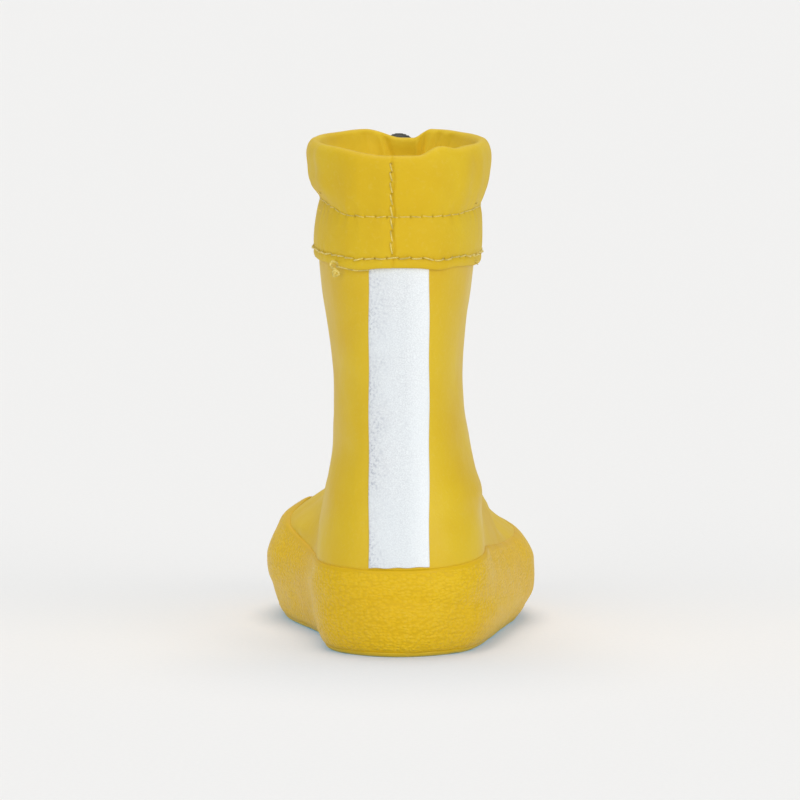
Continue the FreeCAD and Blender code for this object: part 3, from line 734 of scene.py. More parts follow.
def ankle_creases(points):
    """Shallow flex creases where the shaft meets the instep, fading before the back."""
    x, y, z = points.T
    fade = smooth_step(52.0, -6.0, y) * smooth_step(4.0, 16.0, np.abs(x)) * 0.6
    fade += smooth_step(20.0, -4.0, y) * 0.4
    total = np.zeros(len(points))
    for height, slope, depth, width in ((78, 0.34, 0.55, 2.6), (86, 0.22, 0.42, 2.2), (70, 0.48, 0.40, 2.4)):
        line = height - slope * (y + 4.0) + 1.2 * np.sin(x * 0.12 + height)
        total -= depth * bump_at(z, line, width)
        total += 0.5 * depth * bump_at(z, line + 4.0, width * 1.2)
    return total * fade


def make_lining():
    """Cloth lining, brushed on its inner face."""
    points, faces = body_layer(LINING_IN, 200, LINING_OUT, 60, 160, lining_push)
    piece = make_mesh("cloth_lining", points, faces, lining_cloth)
    stands_for(piece, "lining")


# ------------------------------------------------------------------ sole


FOXING_COLUMNS = 1080
FOXING_ROWS = 82
FOXING_BOTTOM = 1.5
FOXING_TOP_THICKNESS = 1.25
FOXING_ROLL = 1.3
GRAINS_ROUND = 186
GRAIN_ROW = 1.25
GRAIN_HEIGHT = 0.10


def make_foxing():
    """Band round the foot with rows of small raised grains and a rolled top edge."""
    tree = body_tree(FOXING_OUT)
    ring, outward = ring_outline(FOXING_COLUMNS)
    steps = np.linalg.norm(np.roll(ring, -1, axis=0) - ring, axis=1)
    length = steps.sum()
    around = np.cumsum(steps) - steps[0]
    bottom = sole_line(ring[:, 1]) + FOXING_BOTTOM
    bottom += 0.16 * value_noise(np.column_stack([ring, 0 * bottom]), 7.0, seed=24)
    top = foxing_edge(ring[:, 0], ring[:, 1])
    fractions = np.linspace(0, 1, FOXING_ROWS)
    rows = []
    relief_rows = []
    for fraction in fractions:
        z = bottom + (top - bottom) * fraction
        reach = foxing_reach(tree, ring, outward, z)
        reach += 1.6 * bump_at(z, 10.5, 5.0) * smooth_step(-18.0, -32.0, ring[:, 0])
        below_top = top - z
        reach -= (FOXING_OUT - FOXING_TOP_THICKNESS) * smooth_step(9.0, 0.0, below_top)
        roll = np.clip(1 - below_top / FOXING_ROLL, 0, 1)
        reach -= 0.85 * (1 - np.sqrt(1 - roll ** 2 * 0.98))
        relief = grain_relief(around / length, z, np.column_stack([ring, z]))
        relief = 0.3 + 0.7 * relief
        relief *= smooth_step(0.9, 1.8, below_top) * smooth_step(0.2, 1.2, z - bottom)
        reach += GRAIN_HEIGHT * (relief - 0.5 * (relief > 0))
        reach -= 0.12 * bump_at(z - bottom, 0.3, 0.3)
        rows.append(np.column_stack([ring + outward * reach[:, None], z]))
        relief_rows.append(relief)
    inner_rows = []
    for index, depth in ((-1, 1.3), (-30, 3.0), (0, 4.0)):
        inner_rows.append(band_inner_row(rows[index], outward, depth))
    points = np.vstack(rows + inner_rows)
    relief = np.concatenate(relief_rows + [np.zeros(FOXING_COLUMNS)] * len(inner_rows))
    turn = np.tile(TURN * around / length, len(rows) + len(inner_rows))
    wrap_r = length / TURN
    wrap = np.column_stack([wrap_r * np.cos(turn), wrap_r * np.sin(turn), points[:, 2]]) * MM
    faces = grid_faces(len(rows) + len(inner_rows), FOXING_COLUMNS, closed_rows=True)
    piece = make_mesh("foxing_band", points, faces, foxing_rubber, relief=relief, wrap=wrap)
    stands_for(piece, "foxing")
    return piece


def band_inner_row(row, outward, depth):
    """Row of points behind an outer row."""
    moved = row.copy()
    moved[:, :2] -= outward * depth
    return moved


def foxing_reach(tree, ring, outward, heights):
    """Distance of the foxing's face outside the sole's outline at each point of the ring."""
    start = 20.0
    reach = -sole_inset(heights - sole_line(ring[:, 1]))
    for i, (point, direction, z) in enumerate(zip(ring, outward, heights)):
        origin = Vector((*(point - direction * start), z))
        hit = tree.ray_cast(origin, Vector((*direction, 0.0)), 60.0)
        if hit[0] is not None:
            body = hit[3] - start
            blend = 0.8
            gap = math.sqrt((reach[i] - body) ** 2 + blend * blend)
            reach[i] = 0.5 * (reach[i] + body + gap) - 0.25 * blend
    return reach


def grain_relief(turns, z, points):
    """Staggered rice-shaped grains, from 0 between them to 1 on their tops."""
    drift = 0.55 * value_noise(points, 9.0, seed=21)
    lift = 0.30 * value_noise(points, 7.0, seed=22)
    u = turns * GRAINS_ROUND + drift / 2.3
    v = (z + lift) / (2 * GRAIN_ROW)
    grains = np.cos(TURN * u + 0.5 * np.sin(TURN * v)) * np.cos(TURN * v)
    strength = 0.78 + 0.22 * value_noise(points, 5.0, seed=23)
    return np.clip((0.5 + 0.62 * grains) * strength, 0.0, 1.0)


def make_outsole():
    """Outsole with its moulded edge and cross grooves."""
    columns = 640
    ring, outward = ring_outline(columns)
    spine = np.column_stack([np.zeros(columns), np.clip(ring[:, 1], -44, 44)])
    line = sole_line(ring[:, 1])
    wave = 0.16 * value_noise(np.column_stack([ring, line]), 13, seed=31)
    rows = []
    for share in (0.96, 0.75, 0.5, 0.25, 0.08):
        inside = ring - outward * 3.4
        plan = inside + (spine - inside) * share
        rows.append(np.column_stack([plan, sole_line(plan[:, 1]) + OUTSOLE_TOP - 0.2]))
    edge = ((3.9, -1.6), (2.6, -1.2), (1.7, -0.5), (1.45, 0.02), (1.1, 0.10), (0.55, 0.0), (0.15, -0.35))
    for level, proud in edge:
        reach = -sole_inset(level) + proud + wave * smooth_step(3.9, 2.5, level)
        height = line + level + 0.35 * wave * (level < 3)
        rows.append(np.column_stack([ring + outward * reach[:, None], height]))
    for share in np.concatenate([[0.012, 0.03], np.linspace(0.06, 0.97, 44)]):
        inside = ring - outward * 5.6
        plan = inside + (spine - inside) * share
        rows.append(np.column_stack([plan, sole_line(plan[:, 1]) + tread_height(plan[:, 1])]))
    faces = capped_faces(len(rows), columns, turned=True)
    piece = make_mesh("outsole_moulding", np.vstack(rows), faces, outsole_rubber)
    stands_for(piece, "outsole")


def tread_height(y):
    """Depth of the tread's grooves at y."""
    depth = smooth_step(WAIST[0], WAIST[0] + 1.2, y) * smooth_step(WAIST[1], WAIST[1] - 1.2, y)
    edge = GROOVE_WIDTH / 2
    for low, high in (FOREFOOT_TREAD, HEEL_TREAD):
        for centre in np.arange(low, high, GROOVE_PITCH):
            depth = np.maximum(depth, smooth_step(edge, edge - 0.5, np.abs(y - centre)))
    return TREAD_DEPTH * depth


def make_footbed_cover():
    """Cloth top of the loose footbed, dished under the heel and the ball."""
    tree = body_tree(-4.3)
    rows = 150
    columns = 48
    ys = np.linspace(-76.5, 74.0, rows)
    shares = np.sin(np.linspace(-math.pi / 2, math.pi / 2, columns))
    grid = np.zeros((rows, columns, 3))
    for r, y in enumerate(ys):
        level = bed_line(y) + 15.9
        sides = []
        for direction in (-1.0, 1.0):
            hit = tree.ray_cast(Vector((0.0, y, level)), Vector((direction, 0.0, 0.0)), 60.0)
            sides.append(hit[3] if hit[0] is not None else 1.0)
        x = np.where(shares < 0, shares * sides[0], shares * sides[1])
        dish = 0.9 * bump_at(y, 52, 24) * np.cos(shares * math.pi / 2) + 0.5 * bump_at(y, -38, 26)
        grid[r] = np.stack([x, np.full(columns, y), level + 0.4 - dish + 0.9 * shares ** 4], axis=1)
    flat = grid.reshape(-1, 3)
    flat[:, 2] += 0.06 * value_noise(flat, 6, seed=41)
    grid = flat.reshape(grid.shape)
    points, faces = sheet_solid(grid, np.array([0.0, 0.0, -0.9]))
    piece = make_mesh("footbed_cloth_top", points, faces, footbed_cloth)
    stands_for(piece, "footbed_cover")


def sheet_solid(front, backwards):
    """Closed thin sheet from a grid of its front face and the step to its back face."""
    rows, columns = front.shape[:2]
    back = front + backwards
    count = rows * columns
    points = np.vstack([front.reshape(-1, 3), back.reshape(-1, 3)])
    faces = grid_faces(rows, columns, closed_columns=False)
    faces += [face[::-1] for face in grid_faces(rows, columns, closed_columns=False, start=count)]
    rim = list(range(columns))
    rim += [r * columns + columns - 1 for r in range(1, rows)]
    rim += [(rows - 1) * columns + c for c in range(columns - 2, -1, -1)]
    rim += [r * columns for r in range(rows - 2, 0, -1)]
    for a, b in zip(rim, rim[1:] + rim[:1]):
        faces.append([b, a, a + count, b + count])
    return points, faces


# ------------------------------------------------------------------ reflective strip


def make_strip(foxing):
    """Reflective tape down the back, over the foxing's top edge and under the cuff's hem."""
    tree = body_tree(0.0)
    foxing_tree = BVHTree.FromObject(foxing, bpy.context.evaluated_depsgraph_get())
    rows = 260
    columns = 52
    levels = np.linspace(0, 1, rows)
    shares = np.linspace(-1, 1, columns)
    grid = np.zeros((rows, columns, 3))
    back = Vector((0.0, -1.0, 0.0))
    for r, level in enumerate(levels):
        for c, share in enumerate(shares):
            z = STRIP_BOTTOM + (STRIP_TOP - STRIP_BOTTOM) * level
            x = share * STRIP_WIDTH / 2
            z += (1 - level) ** 8 * (0.12 * math.sin(x * 0.9 + 1.0) - 0.22 * share)
            x += 0.10 * math.sin(z * 0.23 + 2 * share) * abs(share) ** 3
            y = tree.ray_cast(Vector((x, 130.0, z)), back)[0].y + 0.42
            if z < 33.0:
                hit = foxing_tree.ray_cast(Vector((x, 130.0, z)) * MM, back)
                if hit[0] is not None:
                    y = max(y, hit[0].y / MM + 0.22)
            grid[r, c] = (x, y, z)
    for _ in range(6):
        grid[1:-1, :, 1] = np.maximum(grid[1:-1, :, 1], 0.5 * (grid[:-2, :, 1] + grid[2:, :, 1]))
    flat = grid.reshape(-1, 3)
    flat[:, 1] += 0.035 * value_noise(flat, 9, seed=51)
    edge = np.abs(flat[:, 0]) / (STRIP_WIDTH / 2)
    flat[:, 1] -= 0.22 * smooth_step(0.965, 1.0, edge)
    points, faces = sheet_solid(flat.reshape(grid.shape)[:, ::-1], np.array([0.0, -0.35, 0.0]))
    piece = make_mesh("back_strip", points, faces, tape)
    stands_for(piece, "reflective_strip")

# ------------------------------------------------------------------ cuff


# The cuff's cross-section, as (height, distance outwards from the shaft's face), round both plies.
CUFF_LEVELS = [
    (127.6, 1.0), (128.0, 1.6), (129.4, 1.85), (131.0, 1.5), (132.8, 1.75), (137.0, 1.6), (141.0, 1.2),
    (143.4, 0.6), (144.4, 0.3), (145.5, 0.65), (148.0, 1.5), (153.0, 2.7), (158.0, 3.3), (162.0, 3.3),
    (164.9, 2.6), (166.4, 1.5), (166.8, 0.3), (166.4, -1.0), (164.9, -1.8), (161.0, -2.6), (155.0, -3.2),
    (149.0, -2.9), (145.2, -2.2), (143.0, -4.2), (140.0, -4.9), (134.0, -5.0), (128.4, -5.0), (127.8, -4.5),
    (128.4, -4.0), (135.0, -3.9), (140.5, -3.9), (142.2, -3.2), (142.4, -1.8), (142.2, -0.4), (140.5, 0.2),
    (135.0, 0.2), (128.4, 0.3),
]
CUFF_STEPS = 210
CUFF_COLUMNS = 470
STITCH_COUNT = 58


def shaft_ring(z, columns):
    """Ring of the shaft's face at a height and its outward directions, from the back; closer set there."""
    turns = np.arange(columns) / columns
    angles = TURN * turns - 0.42 * np.sin(TURN * turns) - math.pi / 2
    row = hermite_row(SECTION_ROWS, SECTION_STATIONS, station_at_height(z))
    ring = section_ring(row, 0.0, angles)[:, :2]
    return ring, outward_in_plan(ring)


def cuff_moves(ring, z):
    """How far the cloth at one level is lifted, and pushed outwards, round the cuff."""
    x, y = ring.T
    behind = smooth_step(20.0, 62.0, y)
    front = smooth_step(14.0, -2.0, y)
    inner = smooth_step(16.0, 27.0, x)
    outer = smooth_step(-16.0, -27.0, x)
    hem = smooth_step(138.0, 128.0, z)
    rim = smooth_step(156.0, 167.0, z)
    pinch = bump_at(z, PINCH_Z, 6.0)
    lift = hem * (-1.0 * bump_at(x, 13.0, 5.0) - 1.0 * bump_at(x, -13.0, 5.0)) * behind
    lift += (0.3 * inner - 1.6 * outer) * hem + (3.2 * inner + 1.0 * outer) * pinch
    dip = smooth_step(24.0, 4.0, x) * smooth_step(-13.0, -6.0, x)
    lift += behind * rim * (0.5 * bump_at(x, -14.0, 4.0) - 0.6 * bump_at(x, -18.0, 2.5) - 2.3 * dip)
    valley = smooth_step(11.5, -1.0, x) * smooth_step(-10.8, -5.5, x)
    ends = 0.5 * smooth_step(-14.0, -24.0, x) + 0.4 * smooth_step(12.0, 22.0, x)
    lift += front * rim * (0.4 - ends - 2.9 * valley)
    push = -front * rim * 3.0 * valley - 1.3 * inner * pinch - 0.6 * inner * bump_at(z, 158.5, 4.0)
    return lift, push


def cuff_folds(points):
    """Soft gathers and puckers of the cloth, strongest at the pinched line and along the tunnel."""
    x, y, z = points.T
    angle = np.arctan2(x, y - 36.0)
    soft = 0.55 * np.sin(9 * angle + 0.7) + 0.40 * np.sin(15 * angle + 2.1 + 0.04 * z)
    soft += 0.30 * np.sin(23 * angle + 0.5 - 0.07 * z)
    fine = 0.5 * np.sin(57 * angle + 1.5) + 0.5 * np.sin(43 * angle + 0.4 + 0.05 * z)
    tunnel = bump_at(z, 156.0, 9.0)
    pinch = bump_at(z, PINCH_Z, 3.4)
    hem = bump_at(z, 131.0, 3.0)
    push = soft * (0.32 * tunnel + 0.10 * pinch + 0.10 * hem)
    push += fine * (0.13 * pinch + 0.07 * hem)
    push += value_noise(points * np.array([1.0, 1.0, 0.45]), 10.0, seed=61) * (0.10 + 0.18 * tunnel)
    push += value_noise(points * np.array([1.0, 1.0, 0.16]), 4.2, seed=62) * 0.035 * (0.4 + pinch)
    return push


def seam_step(x, y, z):
    """Overlapping ply at the back seam, with its stitched channel and the gap at its edge."""
    behind = smooth_step(45.0, 62.0, y)
    edge = SEAM_X + 0.25 * np.sin(z * 0.55)
    ply = 0.60 * smooth_step(edge - 0.30, edge + 0.30, x) * smooth_step(edge + 9.0, edge + 2.0, x)
    return behind * (ply - 0.32 * bump_at(x, edge - 0.5, 0.35))


class Cuff:
    """The cuff's cloth as a grid, round its cross-section and round the leg."""

    def __init__(self):
        self.profile = smooth_curve(CUFF_LEVELS, CUFF_STEPS, closed=True)
        self.outer_steps = int(np.argmax(self.profile[:, 0]))
        rows = []
        directions = []
        holes = []
        for step, (z, reach) in enumerate(self.profile):
            ring, outward = shaft_ring(z, CUFF_COLUMNS)
            lift, push = cuff_moves(ring, z)
            folds = cuff_folds(np.column_stack([ring, np.full(CUFF_COLUMNS, z)]))
            outside = step <= self.outer_steps
            hole = self.stitch_holes(ring, z) if outside else np.zeros(CUFF_COLUMNS)
            step_up = seam_step(ring[:, 0], ring[:, 1], z) if outside else 0.0
            share = 1.0 if outside else 0.5 * smooth_step(143.0, 150.0, z)
            out = reach + push * (1.0 if outside or z > 150 else 0.0) + folds * share + step_up - 0.4 * hole
            out = out + (0.0 if outside else self.inner_creases(ring, z))
            rows.append(np.column_stack([ring + outward * out[:, None], z + lift]))
            directions.append(np.column_stack([outward, np.zeros(CUFF_COLUMNS)]))
            holes.append(hole)
        self.grid = np.array(rows)
        self.directions = np.array(directions)
        self.holes = np.array(holes)

    def inner_creases(self, ring, z):
        """Sharp upright creases on the inside of the front, where the cord gathers the cloth."""
        x, y = ring.T
        depth = np.zeros(len(x))
        creases = ((5.5, -0.30, 1.3, 0.9), (-9.0, 0.10, 0.8, 1.1), (-14.5, 0.25, 1.4, 0.8),
                   (12.0, -0.2, 2.0, 0.5), (-19.0, 0.3, 1.6, 0.6))
        for centre, lean, width, height in creases:
            line = centre + lean * (166.0 - z)
            depth += height * (bump_at(x, line, width) - 0.8 * bump_at(x, line + 1.6 * width, width))
        return depth * smooth_step(12.0, 0.0, y) * smooth_step(147.0, 153.0, z) * smooth_step(167.5, 164.0, z)

    def stitch_holes(self, ring, z):
        """Depth, from 0 to 1, of the needle holes near one level."""
        along = distances_along(np.vstack([ring, ring[:1]]))
        pitch = along[-1] / STITCH_COUNT
        gap = np.abs((along[:-1] / pitch) % 1.0 - 0.5) * pitch
        spots = np.exp(-((pitch / 2 - gap) / 0.42) ** 2)
        rows = bump_at(z, HEM_STITCH_Z, 0.45) + bump_at(z, PINCH_Z, 0.40)
        edge = SEAM_X + 0.15
        seam_gap = abs((z / 4.0) % 1.0 - 0.5) * 4.0
        seam = np.exp(-((2.0 - seam_gap) / 0.42) ** 2) * bump_at(ring[:, 0], edge, 0.42) * (ring[:, 1] > 40)
        seam *= smooth_step(130.0, 131.0, z) * smooth_step(166.5, 165.0, z)
        return np.clip(spots * rows + seam, 0.0, 1.0)

    def step_at(self, z):
        """Row number, with its fraction, where the outer face reaches a level."""
        heights = self.profile[:self.outer_steps + 1, 0]
        return float(np.interp(z, heights, np.arange(len(heights))))

    def column_at(self, z, along=None, x=None):
        """Column number, with its fraction, at a share of the way round, or at x on the back."""
        ring = shaft_ring(z, CUFF_COLUMNS)[0]
        if x is not None:
            half = CUFF_COLUMNS // 4
            wrapped = np.roll(ring, half, axis=0)[:2 * half, 0]
            order = np.argsort(wrapped)
            return float(np.interp(x, wrapped[order], (np.arange(2 * half) - half)[order]))
        total = distances_along(np.vstack([ring, ring[:1]]))
        return float(np.interp(along % 1.0, total / total[-1], np.arange(CUFF_COLUMNS + 1)))

    def place(self, step, column, out):
        """Point on the cloth at a row and a column, moved outwards."""
        r = int(math.floor(step))
        c = int(math.floor(column))
        fr = step - r
        fc = column - c
        value = np.zeros(3)
        for dr, dc, weight in ((0, 0, (1 - fr) * (1 - fc)), (1, 0, fr * (1 - fc)), (0, 1, (1 - fr) * fc),
                               (1, 1, fr * fc)):
            at = (min(r + dr, CUFF_STEPS - 1), (c + dc) % CUFF_COLUMNS)
            value += weight * (self.grid[at] + out * self.directions[at])
        return value


def make_cuff(cuff):
    """Coated cloth cuff in two plies with a tunnel for the cord."""
    count = CUFF_STEPS * CUFF_COLUMNS
    around = np.linalg.norm(np.roll(cuff.grid, -1, axis=1) - cuff.grid, axis=2)
    around = np.cumsum(around[CUFF_STEPS // 4])
    along = distances_along(cuff.profile)
    weave = np.zeros((CUFF_STEPS, CUFF_COLUMNS, 3))
    weave[:, :, 0] = around[None, :] * MM
    weave[:, :, 1] = along[:, None] * MM
    # Mask of the inner ply, which the cloth material paints paler as painted light.
    inside = smooth_step(0.0, 16.0, np.arange(CUFF_STEPS) - cuff.outer_steps)
    faces = grid_faces(CUFF_STEPS, CUFF_COLUMNS, closed_rows=True)
    # The needle holes' layer, whose holes are also dented into the cloth, is painted dark by the material as
    # painted shade.
    piece = make_mesh("cuff_cloth", cuff.grid.reshape(count, 3), faces, cuff_cloth,
                      weave=weave.reshape(count, 3), hole=cuff.holes.ravel(),
                      inside=np.repeat(inside, CUFF_COLUMNS))
    stands_for(piece, "cuff_fabric")


def stitch_tube(path, radius=0.24):
    """One stitch: a thread that dives at both ends, thicker in the middle."""
    t = np.linspace(-1, 1, len(path))
    return tube(path, radius * (1.0 - 0.45 * t ** 6), 9)


def ring_stitches(cuff, z, swell, seed, radius=0.24):
    """Thread on the surface between the needle holes of one row."""
    rng = np.random.default_rng(seed)
    pieces = []
    for i in range(STITCH_COUNT):
        lean = rng.uniform(-0.40, 0.40)
        bulge = swell * rng.uniform(0.5, 1.5)
        arch = rng.uniform(-0.5, 0.5) * swell
        middle = (i + 0.5) / STITCH_COUNT
        path = []
        for t in np.linspace(-1, 1, 13):
            share = middle + t * 0.47 / STITCH_COUNT
            level = z + lean * t + arch * (1 - t * t)
            out = 0.10 + bulge * (1 - t * t) - 0.55 * abs(t) ** 5
            path.append(cuff.place(cuff.step_at(level), cuff.column_at(z, along=share), out))
        pieces.append(stitch_tube(np.array(path), radius))
    return pieces


def seam_stitches(cuff):
    """Thread down the back seam."""
    pieces = []
    for low in np.arange(132.2, 164.0, 4.0):
        path = []
        for t in np.linspace(-1, 1, 11):
            level = low + 2.0 + t * 1.85
            out = 0.10 + 0.22 * (1 - t * t) - 0.5 * abs(t) ** 5
            column = cuff.column_at(level, x=SEAM_X + 0.15 + 0.3 * t)
            path.append(cuff.place(cuff.step_at(level), column, out))
        pieces.append(stitch_tube(np.array(path)))
    return pieces


# Loose curl of thread, as steps from its knot, and short ends, as (x, height, the way the end points).
CURL_STEPS = [
    (-1.0, -0.2, -0.5), (0.4, 0.2, 0.4), (1.5, 0.3, 0.7), (2.1, 0.3, -0.3), (1.6, 0.5, -1.3),
    (0.5, 0.6, -2.0), (0.6, 0.6, -3.0), (1.3, 0.6, -3.5), (0.9, 0.5, -4.1), (-0.2, 0.4, -3.9), (-0.7, 0.4, -3.3),
    (-0.2, 0.5, -2.6), (0.9, 0.7, -2.4), (1.7, 0.6, -3.0),
]
SHORT_ENDS = [
    (27.0, 148.5, (1.1, 0.7, 0.9)), (-26.4, 146.0, (-1.0, 0.8, 0.8)), (-26.2, 129.6, (-1.5, 0.6, -0.2)),
    (-25.6, 129.0, (-1.2, 1.0, -0.9)), (-25.9, 131.0, (-1.0, 0.7, 0.6)),
]


def thread_ends(cuff):
    """Loose thread: the knot at the end of the hem, a curl below it, and a few short ends."""
    pieces = []
    knot = cuff.place(cuff.step_at(128.6), cuff.column_at(128.6, x=18.7), 0.2)
    pieces.append(tube(smooth_curve([knot + np.array(step) for step in CURL_STEPS], 90), 0.34, 9))
    for x, z, tip in SHORT_ENDS:
        start = cuff.place(cuff.step_at(z), cuff.column_at(z, x=x), -0.1)
        middle = start + np.array(tip) * 0.55 + np.array([0.0, 0.2, -0.15])
        pieces.append(tube(smooth_curve([start, middle, start + np.array(tip)], 14), 0.15, 6))
    return pieces


def hem_bead(cuff):
    """Doubled thread under the hem's edge, thicker at the side where it was tied off."""
    path = []
    radii = []
    for x in np.linspace(19.2, 9.5, 70):
        out = -0.15 + 0.12 * math.sin(x * 2.4)
        path.append(cuff.place(0.6, cuff.column_at(HEM_Z, x=x), out) + np.array([0, 0, -0.20]))
        radii.append(0.22 + 0.22 * float(smooth_step(16.5, 19.2, x)))
    return tube(np.array(path), np.array(radii), 10)


def make_threads(cuff):
    """The three rows of stitching and the loose ends."""
    hem = ring_stitches(cuff, HEM_STITCH_Z, 0.50, seed=71)
    hem.append(hem_bead(cuff))
    hem += thread_ends(cuff)
    rows = (("hem_thread", hem, "hem_stitching"),
            ("tunnel_thread", ring_stitches(cuff, PINCH_Z, 0.06, seed=72, radius=0.17), "tunnel_stitching"),
            ("seam_thread", seam_stitches(cuff), "seam_stitching"))
    for name, pieces, node in rows:
        points, faces = join_pieces(pieces)
        piece = make_mesh(name, points, faces, thread)
        stands_for(piece, node)


# ------------------------------------------------------------------ cord and its lock


# Middle of the drawcord, in metres: out of the eyelet, through the lock, and round inside the tunnel.
CORD_ROUTE = [
    (0.00175, -0.0414), (0.00175, -0.0068), (0.0067, -0.0064), (0.0152, -0.0018), (0.0224, 0.0086),
    (0.0264, 0.0232), (0.0271, 0.0406), (0.0243, 0.0568), (0.0178, 0.0690), (0.0078, 0.0755),
    (-0.0078, 0.0754), (-0.0174, 0.0690), (-0.0239, 0.0568), (-0.0267, 0.0406), (-0.0261, 0.0232),
    (-0.0221, 0.0086), (-0.0150, -0.0018), (-0.0067, -0.0064), (-0.00175, -0.0068), (-0.00175, -0.0414),
]
BRAID_STRANDS = 8
BRAID_PITCH = 5.6


def cord_line(count):
    """Smooth line through the cord's route, straight in its two leads."""
    points = [np.array([x / MM, y / MM, CORD_Z]) for x, y in CORD_ROUTE]
    lead_a = [points[0] + (points[1] - points[0]) * t for t in np.linspace(0, 0.9, 10)]
    lead_b = [points[-2] + (points[-1] - points[-2]) * t for t in np.linspace(0.1, 1.0, 10)]
    return smooth_curve(lead_a + points[1:-1] + lead_b, count)


def make_drawcord():
    """Braided cord: two sets of strands that cross over one another."""
    line = cord_line(1500)
    lengths = distances_along(line)
    sides = 32
    tangents = unit(np.gradient(line, axis=0))
    across = unit(np.cross(tangents, [0.0, 0.0, 1.0]))
    up = np.cross(across, tangents)
    angles = TURN * np.arange(sides) / sides
    turn = TURN * lengths / BRAID_PITCH
    one_way = np.cos(BRAID_STRANDS / 2 * (angles[None, :] + turn[:, None] / 2))
    other_way = np.cos(BRAID_STRANDS / 2 * (angles[None, :] - turn[:, None] / 2))
    radii = CORD_R - 0.20 + 0.20 * np.sqrt(np.abs(np.maximum(one_way, other_way)))
    points = line[:, None, :] + radii[:, :, None] * (
        np.cos(angles)[None, :, None] * across[:, None, :] + np.sin(angles)[None, :, None] * up[:, None, :])
    faces = capped_faces(len(line), sides)
    piece = make_mesh("drawcord_braid", points.reshape(-1, 3), faces, cord_cloth)
    stands_for(piece, "drawcord")


def turned_to_front(points, centre_y):
    """Points turned about +Z made to face -Y, with their height along -Y from centre_y."""
    x, y, z = points.T
    return np.column_stack([x, centre_y - z, CORD_Z + y])


def make_eyelet():
    """Rolled metal eyelet with a flange outside the cuff and its barrel through the cloth."""
    profile = []
    for angle in np.linspace(-0.4 * math.pi, 1.0 * math.pi, 22):
        profile.append((4.9 + 0.95 * math.cos(angle), 0.45 + 0.50 * math.sin(angle)))
    profile += [(3.95, 0.2), (3.9, -0.8), (3.95, -2.0), (4.35, -2.05), (4.35, -0.6), (4.8, -0.05)]
    points, faces = closed_lathe(profile, 96)
    points = turned_to_front(points, -9.95)
    piece = make_mesh("cord_eyelet_ring", points, faces, eyelet_metal)
    stands_for(piece, "cord_eyelet")


def closed_lathe(profile, sides):
    """Points and faces of a ring whose cross-section is the closed profile, turned about +Z."""
    angles = TURN * np.arange(sides) / sides
    rows = [np.stack([r * np.cos(angles), r * np.sin(angles), np.full(sides, z)], axis=1) for r, z in profile]
    return np.vstack(rows), grid_faces(len(profile), sides, closed_rows=True)


def round_lock(radius, angles, height):
    """Points round the lock's upright axis."""
    heights = np.broadcast_to(height, angles.shape)
    return np.stack([radius * np.cos(angles), LOCK_Y + radius * np.sin(angles), heights], axis=1)


def make_lock():
    """Lock and cord end: the moulded CAD shapes, with grip ribs and a ridged button top added."""
    for node in ("lock_barrel", "lock_plunger", "cord_end"):
        dress(node, lock_plastic)
    ribs = [rounded_bar((LOCK_R * math.cos(a), LOCK_Y + LOCK_R * math.sin(a), 146.0), 10.6, 0.42)
            for a in np.radians([-24, -12, 0, 12, 24, 156, 168, 180, 192, 204])]
    points, faces = join_pieces(ribs)
    piece = make_mesh("lock_grip_ribs", points, faces, lock_plastic)
    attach(piece, "cord_lock")
    ridges = []
    for radius in (1.3, 2.3, 3.3):
        angles = TURN * np.arange(72) / 72
        height = DOME_TOP - DOME_R + math.sqrt(DOME_R ** 2 - radius ** 2)
        ridges.append(tube(round_lock(radius, angles, height), 0.16, 10, closed=True))
    points, faces = join_pieces(ridges)
    piece = make_mesh("button_ridges", points, faces, lock_plastic)
    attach(piece, "lock_button")


def make_spring():
    """Coil spring under the button."""
    share = np.linspace(0.0, 1.0, 400)
    angles = TURN * SPRING_TURNS * share
    height = SPRING_BOTTOM + SPRING_WIRE_R + (SPRING_TOP - SPRING_BOTTOM - 2 * SPRING_WIRE_R) * share
    points, faces = tube(round_lock(SPRING_R, angles, height), SPRING_WIRE_R, 12)
    piece = make_mesh("spring_coil", points, faces, spring_steel)
    stands_for(piece, "lock_spring", body="cord_lock")
    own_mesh(piece)


def rounded_bar(low, height, radius):
    """Upright bar with round ends."""
    path = []
    radii = []
    for t in np.linspace(0, 1, 15):
        path.append((low[0], low[1], low[2] + height * t))
        end = min(t, 1 - t) * height
        radii.append(radius * math.sqrt(max(0.0, 1 - max(0.0, 1 - end / radius) ** 2)) + 0.02)
    return tube(np.array(path), np.array(radii), 12)


# ------------------------------------------------------------------ inner pieces


def make_inner():
    """Pieces inside the boot keep their CAD shapes, in materials of their own."""
    for node, material in (("midsole", sole_foam), ("footbed_foam", sole_foam),
                           ("heel_counter", stiffener_board), ("toe_puff", stiffener_board),
                           ("insole_board", fibre_board)):
        dress(node, material)


# ------------------------------------------------------------------ stage


def make_floor():
    """Pale seamless floor, wide enough to fill the picture behind the boot."""
    columns = 24
    depths = np.linspace(-20000.0, 20000.0, columns)
    points = [(x, y, 0.0) for y in depths for x in np.linspace(-20000, 20000, columns)]
    g = Graph("floor_paper")
    grain = g.noise(600, 3, 0.6)
    colour = g.blend(g.spread(grain, 0.4, 0.6), (0.812, 0.675, 0.545), (0.822, 0.685, 0.555))
    paper = g.finish(colour, 0.85, g.bump(grain, 0.05, 0.0003), Specular_IOR_Level=0.0, Emission_Strength=1.0,
                     Emission_Color=(0.020, 0.162, 0.292, 1.0))
    floor = make_mesh("floor", points, grid_faces(len(depths), columns, closed_columns=False), paper)


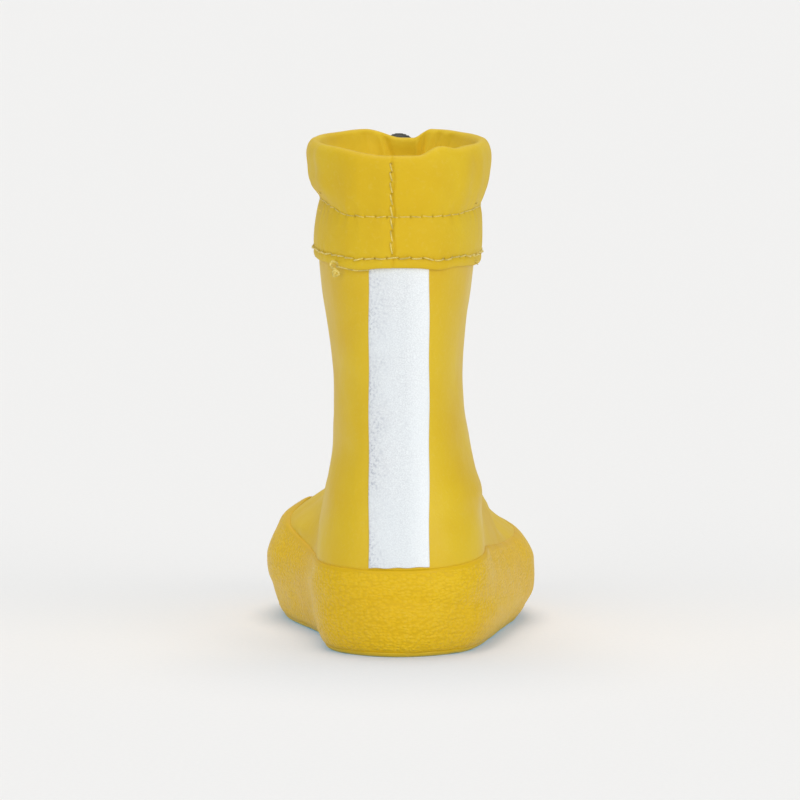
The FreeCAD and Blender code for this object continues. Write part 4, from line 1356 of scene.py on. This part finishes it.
def soft_sun(name, direction, spread, strength):
    """Very wide distant light from a direction."""
    lamp = bpy.data.lights.new(name, "SUN")
    lamp.angle = math.radians(spread)
    lamp.energy = strength
    made = bpy.data.objects.new(name, lamp)
    made.rotation_euler = Vector(direction).to_track_quat("Z", "Y").to_euler()
    bpy.context.scene.collection.objects.link(made)


def make_lights():
    """Even studio light: a bright dome with wide soft lights above and on both sides of the camera."""
    world = bpy.data.worlds.new("studio")
    world.use_nodes = True
    nodes = world.node_tree.nodes
    dome = nodes["Background"]
    dome.inputs["Strength"].default_value = 0.42
    seen = nodes.new("ShaderNodeBackground")
    seen.inputs["Strength"].default_value = 0.886
    for background in (dome, seen):
        background.inputs["Color"].default_value = (1.0, 1.0, 1.0, 1.0)
    mix = nodes.new("ShaderNodeMixShader")
    links = world.node_tree.links
    links.new(nodes.new("ShaderNodeLightPath").outputs["Is Camera Ray"], mix.inputs["Fac"])
    links.new(dome.outputs[0], mix.inputs[1])
    links.new(seen.outputs[0], mix.inputs[2])
    links.new(mix.outputs[0], nodes["World Output"].inputs["Surface"])
    bpy.context.scene.world = world
    soft_sun("top", (0.0, -0.32, 1.0), 42, 1.40)
    soft_sun("front", (0.05, 0.90, 0.70), 45, 0.42)
    soft_sun("right", (-0.85, 0.85, 0.18), 50, 1.30)
    soft_sun("left", (0.80, 0.95, 0.18), 60, 0.92)


def make_camera():
    """Long lens behind the heel, a little above it."""
    elevation = math.radians(5.9)
    distance = 3.0
    target = Vector((-0.00033, 0.040, 0.0806))
    camera = bpy.data.cameras.new("camera")
    camera.sensor_width = 36.0
    camera.lens = 408.0
    camera.clip_end = 20.0
    made = bpy.data.objects.new("camera", camera)
    made.location = target + distance * Vector((0.0, math.cos(elevation), math.sin(elevation)))
    made.rotation_euler = (target - made.location).to_track_quat("-Z", "Y").to_euler()
    bpy.context.scene.collection.objects.link(made)
    bpy.context.scene.camera = made


def main():
    make_upper()
    make_lining()
    foxing = make_foxing()
    make_outsole()
    make_footbed_cover()
    make_strip(foxing)
    cuff = Cuff()
    make_cuff(cuff)
    make_threads(cuff)
    make_drawcord()
    make_eyelet()
    make_lock()
    make_spring()
    make_inner()
    make_floor()
    make_lights()
    make_camera()
    bpy.context.scene.view_settings.view_transform = "Standard"


main()
